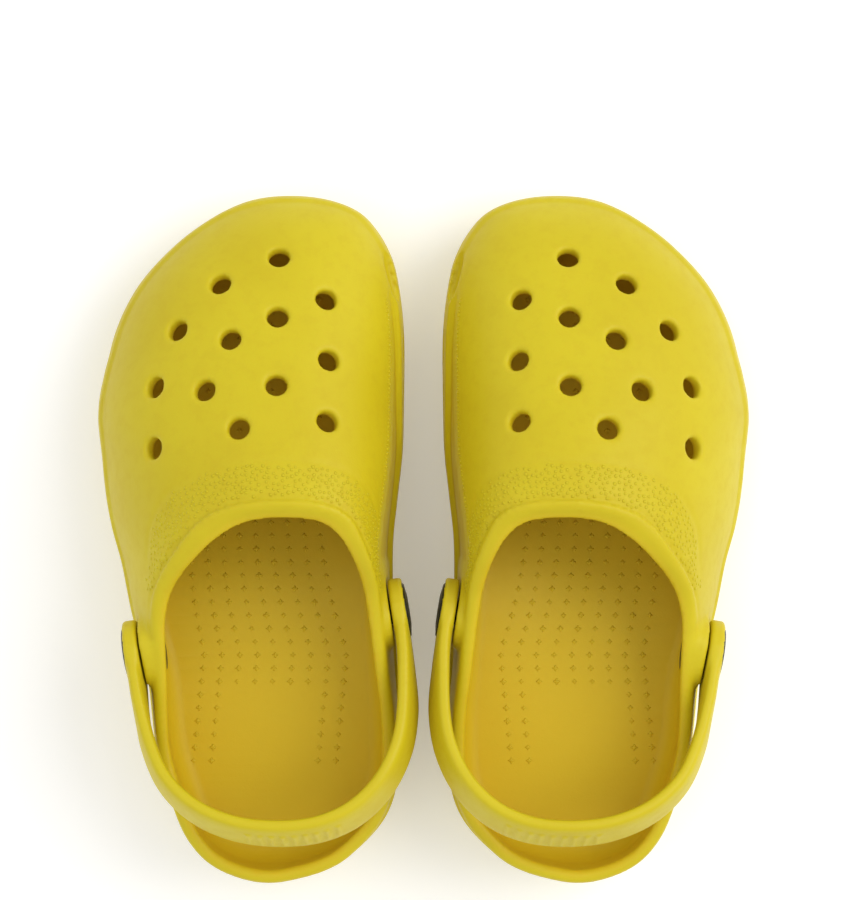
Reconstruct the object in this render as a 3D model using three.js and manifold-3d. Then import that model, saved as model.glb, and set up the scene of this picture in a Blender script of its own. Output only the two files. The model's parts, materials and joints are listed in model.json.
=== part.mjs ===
// A pair of child's foam garden clogs. Each clog is one moulded shell (sole, footbed and vented upper in one
// piece) with a heel strap that swings on two snap rivets. The shell and the strap are drawn once, as the
// left clog, and mirrored for the right one. Millimetres, +Z up, +Y to the toes, +X to the wearer's right.
import * as THREE from 'three';
import { LoftGeometry } from 'three/addons/geometries/LoftGeometry.js';
import { mergeVertices } from 'three/addons/utils/BufferGeometryUtils.js';
import Module from 'manifold-3d';

const wasm = await Module();
wasm.setup();

// Overall sizes of one clog.
const CLOG_LENGTH = 200;
const FOREFOOT_WIDTH = 90;
const INSTEP_HEIGHT = 78; // height of the closed upper, before the foot opening is cut
const PAIR_GAP = 2; // between the two clogs, measured at the inner rivets

// The moulded shell.
const WALL = 4.2;
const WIDEST_HEIGHT = 14; // where the sole bulges out furthest
const SOLE_EDGE_ROUND = 6;
const SOLE_EDGE_SHARE = 0.25; // the most of the shell's width that the sole's edge round may take
const BULGE_FOLLOW = 0.6; // how much of the sole's rise at toe and heel the widest line follows
const BULGE_SHARE = 0.45; // the most of the shell's height that the widest line may lie at
const END_INSET = 0.05; // from the very tip of toe and heel in to the first section
const COLLAR_HEEL_HEIGHT = 39;
const FOOTBED_HEEL = 20;
const FOOTBED_FOREFOOT = 13.5;

// Round vent holes in the upper and slots low in the side walls.
const VENT_HOLE_RADIUS = 3;
const SIDE_SLOT_LENGTH = 10;
const SIDE_SLOT_HEIGHT = 4.6;
const SIDE_SLOT_PITCH = 16;
const SIDE_SLOTS_PER_SIDE = 4;
const SIDE_SLOT_ABOVE_FOOTBED = 2.2;
const FOREMOST_SLOT_MEDIAL = 0.78; // shares of the clog's length, from the heel
const FOREMOST_SLOT_LATERAL = 0.75;

// The heel strap.
const STRAP_RISE = THREE.MathUtils.degToRad(18); // how far the strap's plane tips up towards the heel
const STRAP_TAB_RADIUS = 9.5;
const STRAP_WIDTH = 15.5;
const STRAP_TAB_THICKNESS = 4.3;
const STRAP_BACK_THICKNESS = 4.3;
const STRAP_HEEL_INSET = 17; // from the heel's rearmost point in to the strap's middle line
const STRAP_FLARE = 1.2; // how far the band's upper edge is drawn in, and its lower edge let out
const STRAP_EDGE_CHAMFER = 0.2; // shares of the band's half thickness and half width that its corners lose
const STRAP_EDGE_CROWN = 0.4;
const STRAP_TAB_LAP = 1; // how much narrower than the round tabs the band starts
const STRAP_RELIEF = 0.07; // the least room that the shell leaves round the strap
const RUNNING_GAP = 0.3; // between any two pieces that touch on the real clog

// The rivets: a stud from outside and a socket from inside.
const PIVOT_HEIGHT = 39;
const PIVOT_MEDIAL = 0.393; // shares of the clog's length, from the heel
const PIVOT_LATERAL = 0.337;
const SEAT_PROUD = 0.5; // how far the rivet seats stand out of the shell's side
const RIVET_HEAD_RADIUS = 8;
const RIVET_HEAD_HEIGHT = 1.9;
const RIVET_HEAD_EDGE = 0.6; // height of the head's upright rim, below its dome
const RIVET_HEAD_SHOULDER = [1.4, 1.425]; // the dome's shoulder: in from the rim, and up from the underside
const RIVET_JOURNAL_RADIUS = 3.5;
const RIVET_PIN_RADIUS = 2.4;
const RIVET_PIN_CHAMFER = 0.5;
const SOCKET_COLLAR_RADIUS = 4;
const SOCKET_FLANGE_RADIUS = 6.5;
const SOCKET_FLANGE_HEIGHT = 1.8;
const SOCKET_FLANGE_CHAMFER = 0.7;
const SOCKET_FLOOR = 1; // thickness that closes the socket's inner end
const RECESS_ROOM = 1; // round the socket's flange, where it sits in the shell
const CUT_OVERRUN = 1; // how far a cutter runs past the face that it cuts

// Mesh fineness.
const SHELL_STATIONS = 34;
const TOP_POINTS = 18;
const CORNER_POINTS = 3;
const STRAP_STATIONS = 30;
const ROUND_SIDES = 16;

const HALF_LENGTH = CLOG_LENGTH / 2;

// ---- Outlines ----------------------------------------------------------------------------------------

// The plan outline at its widest, heel first, big-toe side first: [share of length, share of forefoot width].
const PLAN_OUTLINE = [
  [0, 0.07], [0.007, 0.175], [0.019, 0.26], [0.036, 0.325], [0.088, 0.432], [0.14, 0.472], [0.231, 0.484],
  [0.322, 0.47], [0.413, 0.457], [0.494, 0.457], [0.555, 0.471], [0.626, 0.488], [0.696, 0.492],
  [0.804, 0.492],
  [0.874, 0.474], [0.91, 0.454], [0.946, 0.412], [0.974, 0.355], [0.992, 0.267], [1, 0.14],
  [0.995, 0.012], [0.98, -0.078], [0.946, -0.202], [0.91, -0.294], [0.874, -0.365], [0.839, -0.413],
  [0.804, -0.447], [0.767, -0.471], [0.732, -0.491], [0.678, -0.508], [0.625, -0.496], [0.571, -0.484],
  [0.517, -0.463], [0.464, -0.43], [0.393, -0.396], [0.302, -0.342], [0.19, -0.309], [0.14, -0.277],
  [0.071, -0.218], [0.036, -0.158], [0.018, -0.1], [0.005, -0.02],
];

// The side outline, heel first and along the ground: [share of length, share of the closed upper's height].
const SIDE_OUTLINE = [
  [0, 0.5], [0.003, 0.32], [0.006, 0.19], [0.014, 0.07], [0.034, 0.012], [0.07, 0], [0.2, 0], [0.4, 0],
  [0.6, 0], [0.71, 0.002], [0.81, 0.026], [0.9, 0.072], [0.96, 0.13], [0.99, 0.195], [1, 0.27],
  [0.992, 0.35], [0.965, 0.44],
  [0.92, 0.53], [0.85, 0.625], [0.76, 0.725], [0.66, 0.82], [0.56, 0.9], [0.45, 0.965], [0.33, 0.995],
  [0.2, 1], [0.1, 0.97], [0.04, 0.86], [0.01, 0.68],
];

// Where the upper is cut away for the foot, instep first: [share of length, height above the heel's rim].
const COLLAR_LINE = [
  [0.6, 46], [0.58, 37.5], [0.56, 31.8], [0.541, 28], [0.504, 24], [0.466, 19.3], [0.425, 15], [0.38, 12],
  [0.34, 10],
  [0.29, 7], [0.25, 4.2], [0.2, 1.8], [0.13, 0.4], [0.06, 0], [0, 0.5], [-0.1, 2],
];

// The footbed's top, heel first: [share of length, share of the drop from the heel to the forefoot].
const FOOTBED_LINE = [
  [-0.1, -0.5], [0.02, -0.1], [0.12, 0], [0.3, -0.06], [0.4, 0.05], [0.5, 0.45], [0.62, 0.88], [0.75, 1],
  [0.87, 0.85], [0.95, 0.3], [1.1, -0.8],
];

// The vent holes: [share of length, share of forefoot width], in bowed rows from the toes back.
const VENT_HOLES = [
  [0.906, 0.1], [0.867, -0.088],
  [0.844, 0.256], [0.818, 0.101], [0.8, -0.224], [0.786, -0.049],
  [0.756, 0.268], [0.72, 0.102], [0.718, -0.294], [0.713, -0.127],
  [0.669, 0.266], [0.659, -0.015], [0.63, -0.295],
];

// How square the upper's shoulders are on either side, heel first: [share of length, superellipse exponent].
const MEDIAL_SHOULDER = [
  [-0.1, 3.2], [0.12, 3], [0.28, 2.9], [0.4, 3], [0.52, 3.1], [0.66, 2.5], [0.8, 2.3], [1.1, 2.3],
];
const LATERAL_SHOULDER = [
  [-0.1, 3.2], [0.12, 2.9], [0.28, 2.4], [0.42, 1.98], [0.52, 1.92], [0.7, 2], [0.85, 2.1], [1.1, 2.3],
];

// Where the upper's crown runs: [share of length, share of the way across from the little-toe side].
const CROWN_RUN = [
  [-0.1, 0.52], [0.15, 0.53], [0.35, 0.58], [0.5, 0.62], [0.6, 0.61], [0.8, 0.56], [1.1, 0.54],
];

// The strap's middle line in its own plane, from the big-toe side: [share of half its span, share of reach].
const STRAP_LINE = [
  [1, 0], [1, 0.14], [0.99, 0.28], [0.95, 0.5], [0.86, 0.68], [0.69, 0.84], [0.455, 0.952], [0.19, 1],
  [-0.12, 0.99], [-0.43, 0.932], [-0.7, 0.82], [-0.89, 0.66], [-0.98, 0.46], [-1, 0.28], [-1, 0.14], [-1, 0],
];

// A closed curve through the points, as many points, each a Vector2 in millimetres.
function closedCurve(points, sampleCount = 400) {
  const curve = new THREE.CatmullRomCurve3(
    points.map(([a, b]) => new THREE.Vector3(a, b, 0)), true, 'centripetal');
  return curve.getPoints(sampleCount).slice(0, sampleCount).map((p) => new THREE.Vector2(p.x, p.y));
}

// A closed anticlockwise curve, moved inwards by a distance.
function movedInwards(points, distance) {
  return points.map((p, i) => {
    const next = points[(i + 1) % points.length];
    const before = points[(i + points.length - 1) % points.length];
    const along = next.clone().sub(before).normalize();
    return new THREE.Vector2(p.x - along.y * distance, p.y + along.x * distance);
  });
}

// Reads a chain of points, in order along x, as a function of x.
function reader(chain) {
  return (x) => {
    const i = chain.findIndex((p) => p.x >= x);
    if (i <= 0) return chain[i < 0 ? chain.length - 1 : 0].y;
    const [p, q] = [chain[i - 1], chain[i]];
    return THREE.MathUtils.lerp(p.y, q.y, (x - p.x) / (q.x - p.x || 1));
  };
}

// A smooth function of y from a table by share of length.
function along(table) {
  const curve = new THREE.SplineCurve(table.map(([a, value]) => new THREE.Vector2(fromHeel(a), value)));
  return reader(curve.getPoints(12 * table.length));
}

// Reads a closed curve as two functions of its first coordinate: the branch below and the branch above.
function branches(points) {
  const xs = points.map((p) => p.x);
  const low = xs.indexOf(Math.min(...xs));
  const high = xs.indexOf(Math.max(...xs));
  const run = (from, to) => {
    const chain = [];
    for (let i = from; i !== to; i = (i + 1) % points.length) chain.push(points[i]);
    chain.push(points[to]);
    return chain.sort((p, q) => p.x - q.x);
  };
  return {
    first: points[low].x, last: points[high].x, under: reader(run(low, high)), over: reader(run(high, low)),
  };
}

const fromHeel = (share) => (share - 0.5) * CLOG_LENGTH;
const planPoints = closedCurve(PLAN_OUTLINE.map(([a, w]) => [fromHeel(a), -w * FOREFOOT_WIDTH]));
const medialShoulder = along(MEDIAL_SHOULDER);
const lateralShoulder = along(LATERAL_SHOULDER);
const crownRun = along(CROWN_RUN);
const sidePoints = closedCurve(SIDE_OUTLINE.map(([a, h]) => [fromHeel(a), h * INSTEP_HEIGHT]));

// The shell's surface, moved inwards by a depth: plan edges, ground line and crown line as functions of y.
function skin(depth) {
  const plan = branches(movedInwards(planPoints, depth));
  const side = branches(movedInwards(sidePoints, depth));
  const outerSide = branches(sidePoints);
  const reach = [Math.max(plan.first, side.first), Math.min(plan.last, side.last)];
  const at = (y) => {
    const [medial, lateral] = [-plan.under(y), -plan.over(y)];
    const ground = Math.max(side.under(y), 0);
    const crown = side.over(y);
    const bulge = outerSide.under(y) * BULGE_FOLLOW + WIDEST_HEIGHT;
    const widest = THREE.MathUtils.clamp(bulge, ground, ground + BULGE_SHARE * (crown - ground));
    const peak = THREE.MathUtils.lerp(lateral, medial, crownRun(y));
    return { medial, lateral, ground, crown, widest, peak };
  };
  return { reach, at };
}

// One closed section of the shell at y, anticlockwise seen from the toes.
function section(skinAt, y) {
  const s = skinAt(y);
  const top = [];
  for (let i = 0; i <= TOP_POINTS; i++) {
    const angle = (Math.PI * i) / TOP_POINTS;
    const towardsMedial = Math.cos(angle) > 0;
    const exponent = towardsMedial ? medialShoulder(y) : lateralShoulder(y);
    const across = Math.sign(Math.cos(angle)) * Math.abs(Math.cos(angle)) ** (2 / exponent);
    const half = towardsMedial ? s.medial - s.peak : s.peak - s.lateral;
    const up = Math.sin(angle) ** (2 / exponent);
    top.push(new THREE.Vector3(s.peak + half * across, y, s.widest + (s.crown - s.widest) * up));
  }
  const round = Math.min(SOLE_EDGE_ROUND, SOLE_EDGE_SHARE * (s.medial - s.lateral));
  const corner = (edge, side) => {
    const points = [];
    for (let i = 1; i <= CORNER_POINTS; i++) {
      const angle = ((Math.PI / 2) * i) / CORNER_POINTS;
      const x = edge - side * round * (1 - Math.cos(angle));
      points.push(new THREE.Vector3(x, y, s.widest - (s.widest - s.ground) * Math.sin(angle)));
    }
    return points;
  };
  return [...top, ...corner(s.lateral, -1), ...corner(s.medial, 1).reverse()].reverse();
}

// ---- Solids ------------------------------------------------------------------------------------------

// A manifold solid from a closed three.js geometry.
function solid(geometry) {
  const bare = new THREE.BufferGeometry().setAttribute('position', geometry.getAttribute('position'));
  bare.setIndex(geometry.getIndex());
  const merged = mergeVertices(bare, 1e-4);
  const index = merged.index.array;
  const kept = [];
  for (let i = 0; i < index.length; i += 3) {
    const [a, b, c] = [index[i], index[i + 1], index[i + 2]];
    if (a !== b && b !== c && c !== a) kept.push(a, b, c);
  }
  return new wasm.Manifold(new wasm.Mesh({
    numProp: 3, vertProperties: merged.attributes.position.array, triVerts: new Uint32Array(kept),
  }));
}

// A three.js geometry from a manifold solid.
function geometryOf(manifold) {
  const mesh = manifold.getMesh();
  const geometry = new THREE.BufferGeometry();
  geometry.setAttribute('position', new THREE.BufferAttribute(new Float32Array(mesh.vertProperties), 3));
  geometry.setIndex(new THREE.BufferAttribute(new Uint32Array(mesh.triVerts), 1));
  geometry.computeVertexNormals();
  return geometry;
}

const outerSkin = skin(0);
const innerSkin = skin(WALL);

// The whole solid inside a skin, sections set closer together towards both ends.
function skinSolid({ reach, at }) {
  const sections = [];
  for (let i = 0; i <= SHELL_STATIONS; i++) {
    const share = (1 - Math.cos((Math.PI * i) / SHELL_STATIONS)) / 2;
    sections.push(section(at, THREE.MathUtils.lerp(reach[0] + END_INSET, reach[1] - END_INSET, share)));
  }
  return solid(new LoftGeometry(sections, { capStart: true, capEnd: true }));
}

// Everything above a line drawn in side view, right across the clog.
function above(line, sampleCount) {
  const height = 3 * INSTEP_HEIGHT;
  const curve = new THREE.SplineCurve(line.map(([y, z]) => new THREE.Vector2(y, z)));
  const points = curve.getPoints(sampleCount);
  const [first, last] = [points[0], points[points.length - 1]];
  const lid = [new THREE.Vector2(last.x, height), new THREE.Vector2(first.x, height)];
  const shape = new THREE.Shape([...points, ...lid]);
  const width = 2 * FOREFOOT_WIDTH;
  const geometry = new THREE.ExtrudeGeometry(shape, { depth: width, bevelEnabled: false, steps: 1 });
  // The shape's x and y become the clog's y and z, and its depth runs along x.
  geometry.translate(0, 0, -width / 2);
  geometry.rotateX(Math.PI / 2);
  geometry.rotateZ(Math.PI / 2);
  return solid(geometry);
}

const collarAt = COLLAR_LINE.map(([a, h]) => [fromHeel(a), COLLAR_HEEL_HEIGHT + h]);
const footbedAt = FOOTBED_LINE.map(([a, s]) => [
  fromHeel(a), THREE.MathUtils.lerp(FOOTBED_HEEL, FOOTBED_FOREFOOT, s),
]);

// Half the shell's width on one side at a height, as the x of its surface.
function sideX(y, z, medialSide) {
  const s = outerSkin.at(y);
  const exponent = medialSide ? medialShoulder(y) : lateralShoulder(y);
  const up = Math.max(0, (z - s.widest) / (s.crown - s.widest));
  const across = (1 - up ** exponent) ** (1 / exponent);
  return s.peak + across * ((medialSide ? s.medial : s.lateral) - s.peak);
}

// The crown's height of the shell at a point of the plan.
function topZ(x, y) {
  const s = outerSkin.at(y);
  const exponent = x > s.peak ? medialShoulder(y) : lateralShoulder(y);
  const across = Math.abs(x - s.peak) / (x > s.peak ? s.medial - s.peak : s.peak - s.lateral);
  return s.widest + (s.crown - s.widest) * (1 - Math.min(across, 1) ** exponent) ** (1 / exponent);
}

// The pivot line, from the little-toe side to the big-toe side.
const pivotEnds = [false, true].map((medialSide) => {
  const y = fromHeel(medialSide ? PIVOT_MEDIAL : PIVOT_LATERAL);
  return new THREE.Vector3(sideX(y, PIVOT_HEIGHT, medialSide), y, PIVOT_HEIGHT);
});
const pivotMiddle = pivotEnds[0].clone().add(pivotEnds[1]).multiplyScalar(0.5);
const pivotDirection = pivotEnds[1].clone().sub(pivotEnds[0]).normalize();
// Distances outwards from the pivot's middle.
const SEAT = pivotEnds[1].distanceTo(pivotEnds[0]) / 2 + SEAT_PROUD;
const STRAP_INSIDE = SEAT + RUNNING_GAP;
const STRAP_OUTSIDE = STRAP_INSIDE + STRAP_TAB_THICKNESS;
const HEAD_UNDERSIDE = STRAP_OUTSIDE + RUNNING_GAP;
const INNER_SEAT = SEAT - WALL;
const FLANGE_FACE = INNER_SEAT - RUNNING_GAP;
const SEAT_RADIUS = STRAP_TAB_RADIUS + 2 * RUNNING_GAP;

// The pivot's frame: its x runs along the pivot line, outwards on the given side, and its z stays up.
function pivotFrame(side) {
  const x = pivotDirection.clone().multiplyScalar(side);
  const z = new THREE.Vector3(0, 0, 1);
  const y = new THREE.Vector3().crossVectors(z, x);
  return new THREE.Matrix4().makeBasis(x, y, z).setPosition(pivotMiddle);
}

// A round bar along the pivot line on one side, between two distances from its middle.
function pivotBar(side, radius, from, to, sides = 2 * ROUND_SIDES) {
  const bar = new THREE.CylinderGeometry(radius, radius, to - from, sides);
  bar.rotateZ(Math.PI / 2);
  bar.translate((from + to) / 2, 0, 0);
  return solid(bar.applyMatrix4(pivotFrame(side)));
}

// A pin square to the upper's surface, through its wall and clear of the footbed.
function ventPin([along, across]) {
  const [x, y] = [across * FOREFOOT_WIDTH, fromHeel(along)];
  const step = 0.5;
  const slopeX = (topZ(x + step, y) - topZ(x - step, y)) / (2 * step);
  const slopeY = (topZ(x, y + step) - topZ(x, y - step)) / (2 * step);
  const normal = new THREE.Vector3(-slopeX, -slopeY, 1).normalize();
  const pin = new THREE.CylinderGeometry(VENT_HOLE_RADIUS, VENT_HOLE_RADIUS, 4 * WALL, ROUND_SIDES - 2);
  pin.applyQuaternion(new THREE.Quaternion().setFromUnitVectors(new THREE.Vector3(0, 1, 0), normal));
  pin.translate(x, y, topZ(x, y));
  return solid(pin);
}

// A flat slot low in a side wall, level with the wall's own direction there.
function sideSlot(y, medialSide) {
  const height = FOOTBED_FOREFOOT + SIDE_SLOT_ABOVE_FOOTBED + SIDE_SLOT_HEIGHT / 2;
  const step = 1;
  const slope = (sideX(y + step, height, medialSide) - sideX(y - step, height, medialSide)) / (2 * step);
  const slot = new THREE.BoxGeometry(6 * WALL, SIDE_SLOT_LENGTH, SIDE_SLOT_HEIGHT);
  slot.rotateZ(-Math.atan(slope));
  slot.translate(sideX(y, height, medialSide), y, height);
  return solid(slot);
}

function shellSolid() {
  let shell = skinSolid(outerSkin);
  const hollow = skinSolid(innerSkin).intersect(above(footbedAt, 40));
  shell = shell.subtract(hollow);
  for (const side of [-1, 1]) shell = shell.add(pivotBar(side, SEAT_RADIUS, INNER_SEAT, SEAT));
  shell = shell.subtract(above(collarAt, 60));
  const inside = INNER_SEAT - 2 * WALL;
  const boreRadius = SOCKET_COLLAR_RADIUS + RUNNING_GAP;
  const recessRadius = SOCKET_FLANGE_RADIUS + RECESS_ROOM;
  for (const side of [-1, 1]) {
    // The ear keeps a full wall round the bore where the collar runs low.
    const ear = pivotBar(side, boreRadius + WALL, INNER_SEAT, SEAT);
    const spotFace = pivotBar(side, SEAT_RADIUS, SEAT, SEAT + 2 * WALL);
    const bore = pivotBar(side, boreRadius, inside, SEAT + CUT_OVERRUN, ROUND_SIDES);
    const recess = pivotBar(side, recessRadius, inside, INNER_SEAT, ROUND_SIDES);
    shell = shell.add(ear).subtract(spotFace).subtract(bore).subtract(recess);
  }
  for (const hole of VENT_HOLES) shell = shell.subtract(ventPin(hole));
  for (const [medialSide, foremost] of [[true, FOREMOST_SLOT_MEDIAL], [false, FOREMOST_SLOT_LATERAL]]) {
    for (let i = 0; i < SIDE_SLOTS_PER_SIDE; i++) {
      shell = shell.subtract(sideSlot(fromHeel(foremost) - i * SIDE_SLOT_PITCH, medialSide));
    }
  }
  // Wherever the strap would come closer than its relief, the shell gives way to it.
  return shell.subtract(strapSolid(STRAP_RELIEF));
}

// The strap, grown all round by a margin. Its own frame has x along the pivot line and z across the band.
function strapSolid(margin) {
  const halfSpan = (STRAP_INSIDE + STRAP_OUTSIDE) / 2;
  const reach = (pivotMiddle.y + HALF_LENGTH - STRAP_HEEL_INSET) / Math.cos(STRAP_RISE);
  const line = new THREE.CatmullRomCurve3(
    STRAP_LINE.map(([a, b]) => new THREE.Vector3(a * halfSpan, -b * reach, 0)), false, 'centripetal');
  const sections = [];
  const [edge, crown] = [1 - STRAP_EDGE_CHAMFER, 1 - STRAP_EDGE_CROWN];
  const ring = [
    [-1, -edge], [-crown, -1], [crown, -1], [1, -edge], [1, edge], [crown, 1], [-crown, 1], [-1, edge],
  ];
  for (let i = 0; i <= STRAP_STATIONS; i++) {
    const share = i / STRAP_STATIONS;
    const point = line.getPointAt(share);
    const isTab = i === 0 || i === STRAP_STATIONS;
    const forwards = isTab ? new THREE.Vector3(0, i === 0 ? -1 : 1, 0) : line.getTangentAt(share);
    const outwards = new THREE.Vector3(-forwards.y, forwards.x, 0);
    const back = THREE.MathUtils.smoothstep(-point.y / reach, 0.1, 0.5);
    const thickness = THREE.MathUtils.lerp(STRAP_TAB_THICKNESS, STRAP_BACK_THICKNESS, back) + 2 * margin;
    const width = THREE.MathUtils.lerp(2 * STRAP_TAB_RADIUS - STRAP_TAB_LAP, STRAP_WIDTH, back) + 2 * margin;
    sections.push(ring.map(([t, w]) => point.clone()
      .addScaledVector(outwards, (t * thickness) / 2 - w * STRAP_FLARE * back)
      .add(new THREE.Vector3(0, 0, (w * width) / 2))));
  }
  let strap = toStrapPlace(solid(new LoftGeometry(sections, { capStart: true, capEnd: true })));
  const [inside, outside] = [STRAP_INSIDE - margin, STRAP_OUTSIDE + margin];
  const boreRadius = RIVET_JOURNAL_RADIUS + RUNNING_GAP;
  for (const side of [-1, 1]) {
    const tab = pivotBar(side, STRAP_TAB_RADIUS + margin, inside, outside);
    const bore = pivotBar(side, boreRadius, inside - CUT_OVERRUN, outside + CUT_OVERRUN, ROUND_SIDES);
    strap = strap.add(tab).subtract(bore);
  }
  return strap;
}

// Moves a solid from the strap's own frame to its place on the shell.
function toStrapPlace(manifold) {
  const place = pivotFrame(1).multiply(new THREE.Matrix4().makeRotationX(-STRAP_RISE));
  return manifold.transform(place.elements);
}

// A turned piece on the pivot line: its profile is [radius, distance outwards from the pivot's middle].
function turned(profile, side) {
  const lathe = new THREE.LatheGeometry(profile.map(([r, h]) => new THREE.Vector2(r, h)), ROUND_SIDES);
  lathe.rotateZ(-Math.PI / 2);
  return solid(lathe.applyMatrix4(pivotFrame(side)));
}

// A stud: its domed head outside the strap, its journal in the strap's bore and its pin in the socket.
function studSolid(side) {
  const tip = FLANGE_FACE - SOCKET_FLANGE_HEIGHT + SOCKET_FLOOR + RUNNING_GAP;
  const shoulder = SEAT - RUNNING_GAP;
  const crown = HEAD_UNDERSIDE + RIVET_HEAD_HEIGHT;
  const [shoulderIn, shoulderUp] = RIVET_HEAD_SHOULDER;
  return turned([
    [0, tip], [RIVET_PIN_RADIUS - RIVET_PIN_CHAMFER, tip], [RIVET_PIN_RADIUS, tip + RIVET_PIN_CHAMFER],
    [RIVET_PIN_RADIUS, shoulder], [RIVET_JOURNAL_RADIUS, shoulder], [RIVET_JOURNAL_RADIUS, HEAD_UNDERSIDE],
    [RIVET_HEAD_RADIUS, HEAD_UNDERSIDE], [RIVET_HEAD_RADIUS, HEAD_UNDERSIDE + RIVET_HEAD_EDGE],
    [RIVET_HEAD_RADIUS - shoulderIn, HEAD_UNDERSIDE + shoulderUp], [RIVET_HEAD_RADIUS / 2, crown], [0, crown],
  ], side);
}

// A socket: its flange inside the shell's wall and its collar out through the wall, closed at its inner end.
function socketSolid(side) {
  const back = FLANGE_FACE - SOCKET_FLANGE_HEIGHT;
  const mouth = SEAT - 2 * RUNNING_GAP;
  const hole = RIVET_PIN_RADIUS + RUNNING_GAP;
  return turned([
    [0, back], [SOCKET_FLANGE_RADIUS - SOCKET_FLANGE_CHAMFER, back],
    [SOCKET_FLANGE_RADIUS, back + SOCKET_FLANGE_CHAMFER], [SOCKET_FLANGE_RADIUS, FLANGE_FACE],
    [SOCKET_COLLAR_RADIUS, FLANGE_FACE], [SOCKET_COLLAR_RADIUS, mouth],
    [hole, mouth], [hole, back + SOCKET_FLOOR], [0, back + SOCKET_FLOOR],
  ], side);
}

// ---- The pair ----------------------------------------------------------------------------------------

const foam = new THREE.MeshStandardMaterial({ color: '#e3d32a', roughness: 0.62, metalness: 0 });
const rivetPlastic = new THREE.MeshStandardMaterial({ color: '#2a2a1c', roughness: 0.45, metalness: 0 });

function clog(sideName, solids) {
  const group = new THREE.Group();
  for (const [name, manifold, material] of solids) {
    const mesh = new THREE.Mesh(geometryOf(manifold), material);
    mesh.name = sideName + '_' + name;
    group.add(mesh);
  }
  return group;
}

const solids = [
  ['clog_shell', shellSolid(), foam],
  ['heel_strap', strapSolid(0), foam],
  ['outer_rivet_stud', studSolid(-1), rivetPlastic],
  ['outer_rivet_socket', socketSolid(-1), rivetPlastic],
  ['inner_rivet_stud', studSolid(1), rivetPlastic],
  ['inner_rivet_socket', socketSolid(1), rivetPlastic],
];
const medialReach = Math.max(...solids.map(([, manifold]) => manifold.boundingBox().max[0]));

const leftClog = clog('left', solids);
leftClog.position.x = -(medialReach + PAIR_GAP / 2);
const rightClog = clog('right', solids);
rightClog.scale.x = -1;
rightClog.position.x = -leftClog.position.x;

const pair = new THREE.Group();
pair.add(leftClog, rightClog);
export default pair;
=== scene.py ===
import json
import logging
import math
from dataclasses import dataclass, field
from enum import Enum
from functools import partial
from typing import Callable, Optional, Sequence

import bmesh
import bpy
import numpy as np
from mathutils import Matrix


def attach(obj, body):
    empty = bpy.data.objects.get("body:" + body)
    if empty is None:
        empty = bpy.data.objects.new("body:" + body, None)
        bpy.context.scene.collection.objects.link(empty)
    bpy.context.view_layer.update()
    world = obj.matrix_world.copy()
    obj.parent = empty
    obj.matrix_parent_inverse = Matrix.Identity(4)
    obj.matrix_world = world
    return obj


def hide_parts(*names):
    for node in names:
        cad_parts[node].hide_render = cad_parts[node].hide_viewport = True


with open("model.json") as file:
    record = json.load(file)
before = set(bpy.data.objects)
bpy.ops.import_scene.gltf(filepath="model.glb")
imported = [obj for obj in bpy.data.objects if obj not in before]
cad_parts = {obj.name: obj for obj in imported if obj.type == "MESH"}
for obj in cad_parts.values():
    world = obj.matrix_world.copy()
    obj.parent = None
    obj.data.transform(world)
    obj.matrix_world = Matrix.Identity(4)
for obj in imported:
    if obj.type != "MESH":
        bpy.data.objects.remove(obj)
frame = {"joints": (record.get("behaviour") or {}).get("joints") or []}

import openvdb
from mathutils import Vector

"""A pair of child's moulded foam garden clogs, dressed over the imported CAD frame.

One clog is sculpted as the left one, in millimetres, with its own x towards the big toe, y towards the
toes and z up. The right clog is its mirror image. Blender gets the pieces in metres, in the CAD frame.
"""

LOG = logging.getLogger("clogs")
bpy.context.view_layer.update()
MM = 0.001
Points = Sequence[tuple[float, float]]


# ---- Plain mathematics -------------------------------------------------------


def between(low: float, a: np.ndarray, high: float, b: np.ndarray, at: np.ndarray) -> np.ndarray:
    """Returns the straight mix, at some place, of one value at low and another at high."""
    return (high - at) / (high - low) * a + (at - low) / (high - low) * b


def smooth_chain(points: Points, closed: bool, per_span: int = 24) -> np.ndarray:
    """Runs a centripetal Catmull-Rom curve through points.

    Args:
        points: The points that the curve passes through.
        closed: Whether the last point leads back to the first.
        per_span: How many samples each span gets.

    Returns:
        The samples, one row each.
    """
    p = np.asarray(points, dtype=float)
    if closed:
        p = np.vstack([p[-1], p, p[0], p[1]])
    else:
        p = np.vstack([2 * p[0] - p[1], p, 2 * p[-1] - p[-2]])
    samples = []
    for a, b, c, d in zip(p[:-3], p[1:-2], p[2:-1], p[3:]):
        gaps = [max(math.sqrt(math.dist(u, v)), 1e-4) for u, v in ((a, b), (b, c), (c, d))]
        k0, k1, k2, k3 = np.cumsum([0.0, *gaps])
        t = np.linspace(k1, k2, per_span, endpoint=False)[:, None]
        ab, bc, cd = between(k0, a, k1, b, t), between(k1, b, k2, c, t), between(k2, c, k3, d, t)
        abc, bcd = between(k0, ab, k2, bc, t), between(k1, bc, k3, cd, t)
        samples.append(between(k1, abc, k2, bcd, t))
    if not closed:
        samples.append(p[-2:-1])
    return np.vstack(samples)


def smoothstep(value: np.ndarray, low: float, high: float) -> np.ndarray:
    """Returns 0 below low, 1 above high and a soft ramp between them."""
    t = np.clip((value - low) / (high - low), 0.0, 1.0)
    return t * t * (3.0 - 2.0 * t)


def ridge(value: np.ndarray, width: float) -> np.ndarray:
    """Returns 1 where a value is zero, falling softly to 0 on both sides."""
    return np.exp(-(value / width) ** 2)


def soft_max(a: np.ndarray, b: np.ndarray, radius: float) -> np.ndarray:
    """Returns the larger of two distances, blended over a radius: a rounded intersection of two solids."""
    near = np.maximum(radius - np.abs(a - b), 0.0) / radius
    return np.maximum(a, b) + near * near * radius * 0.25


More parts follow.
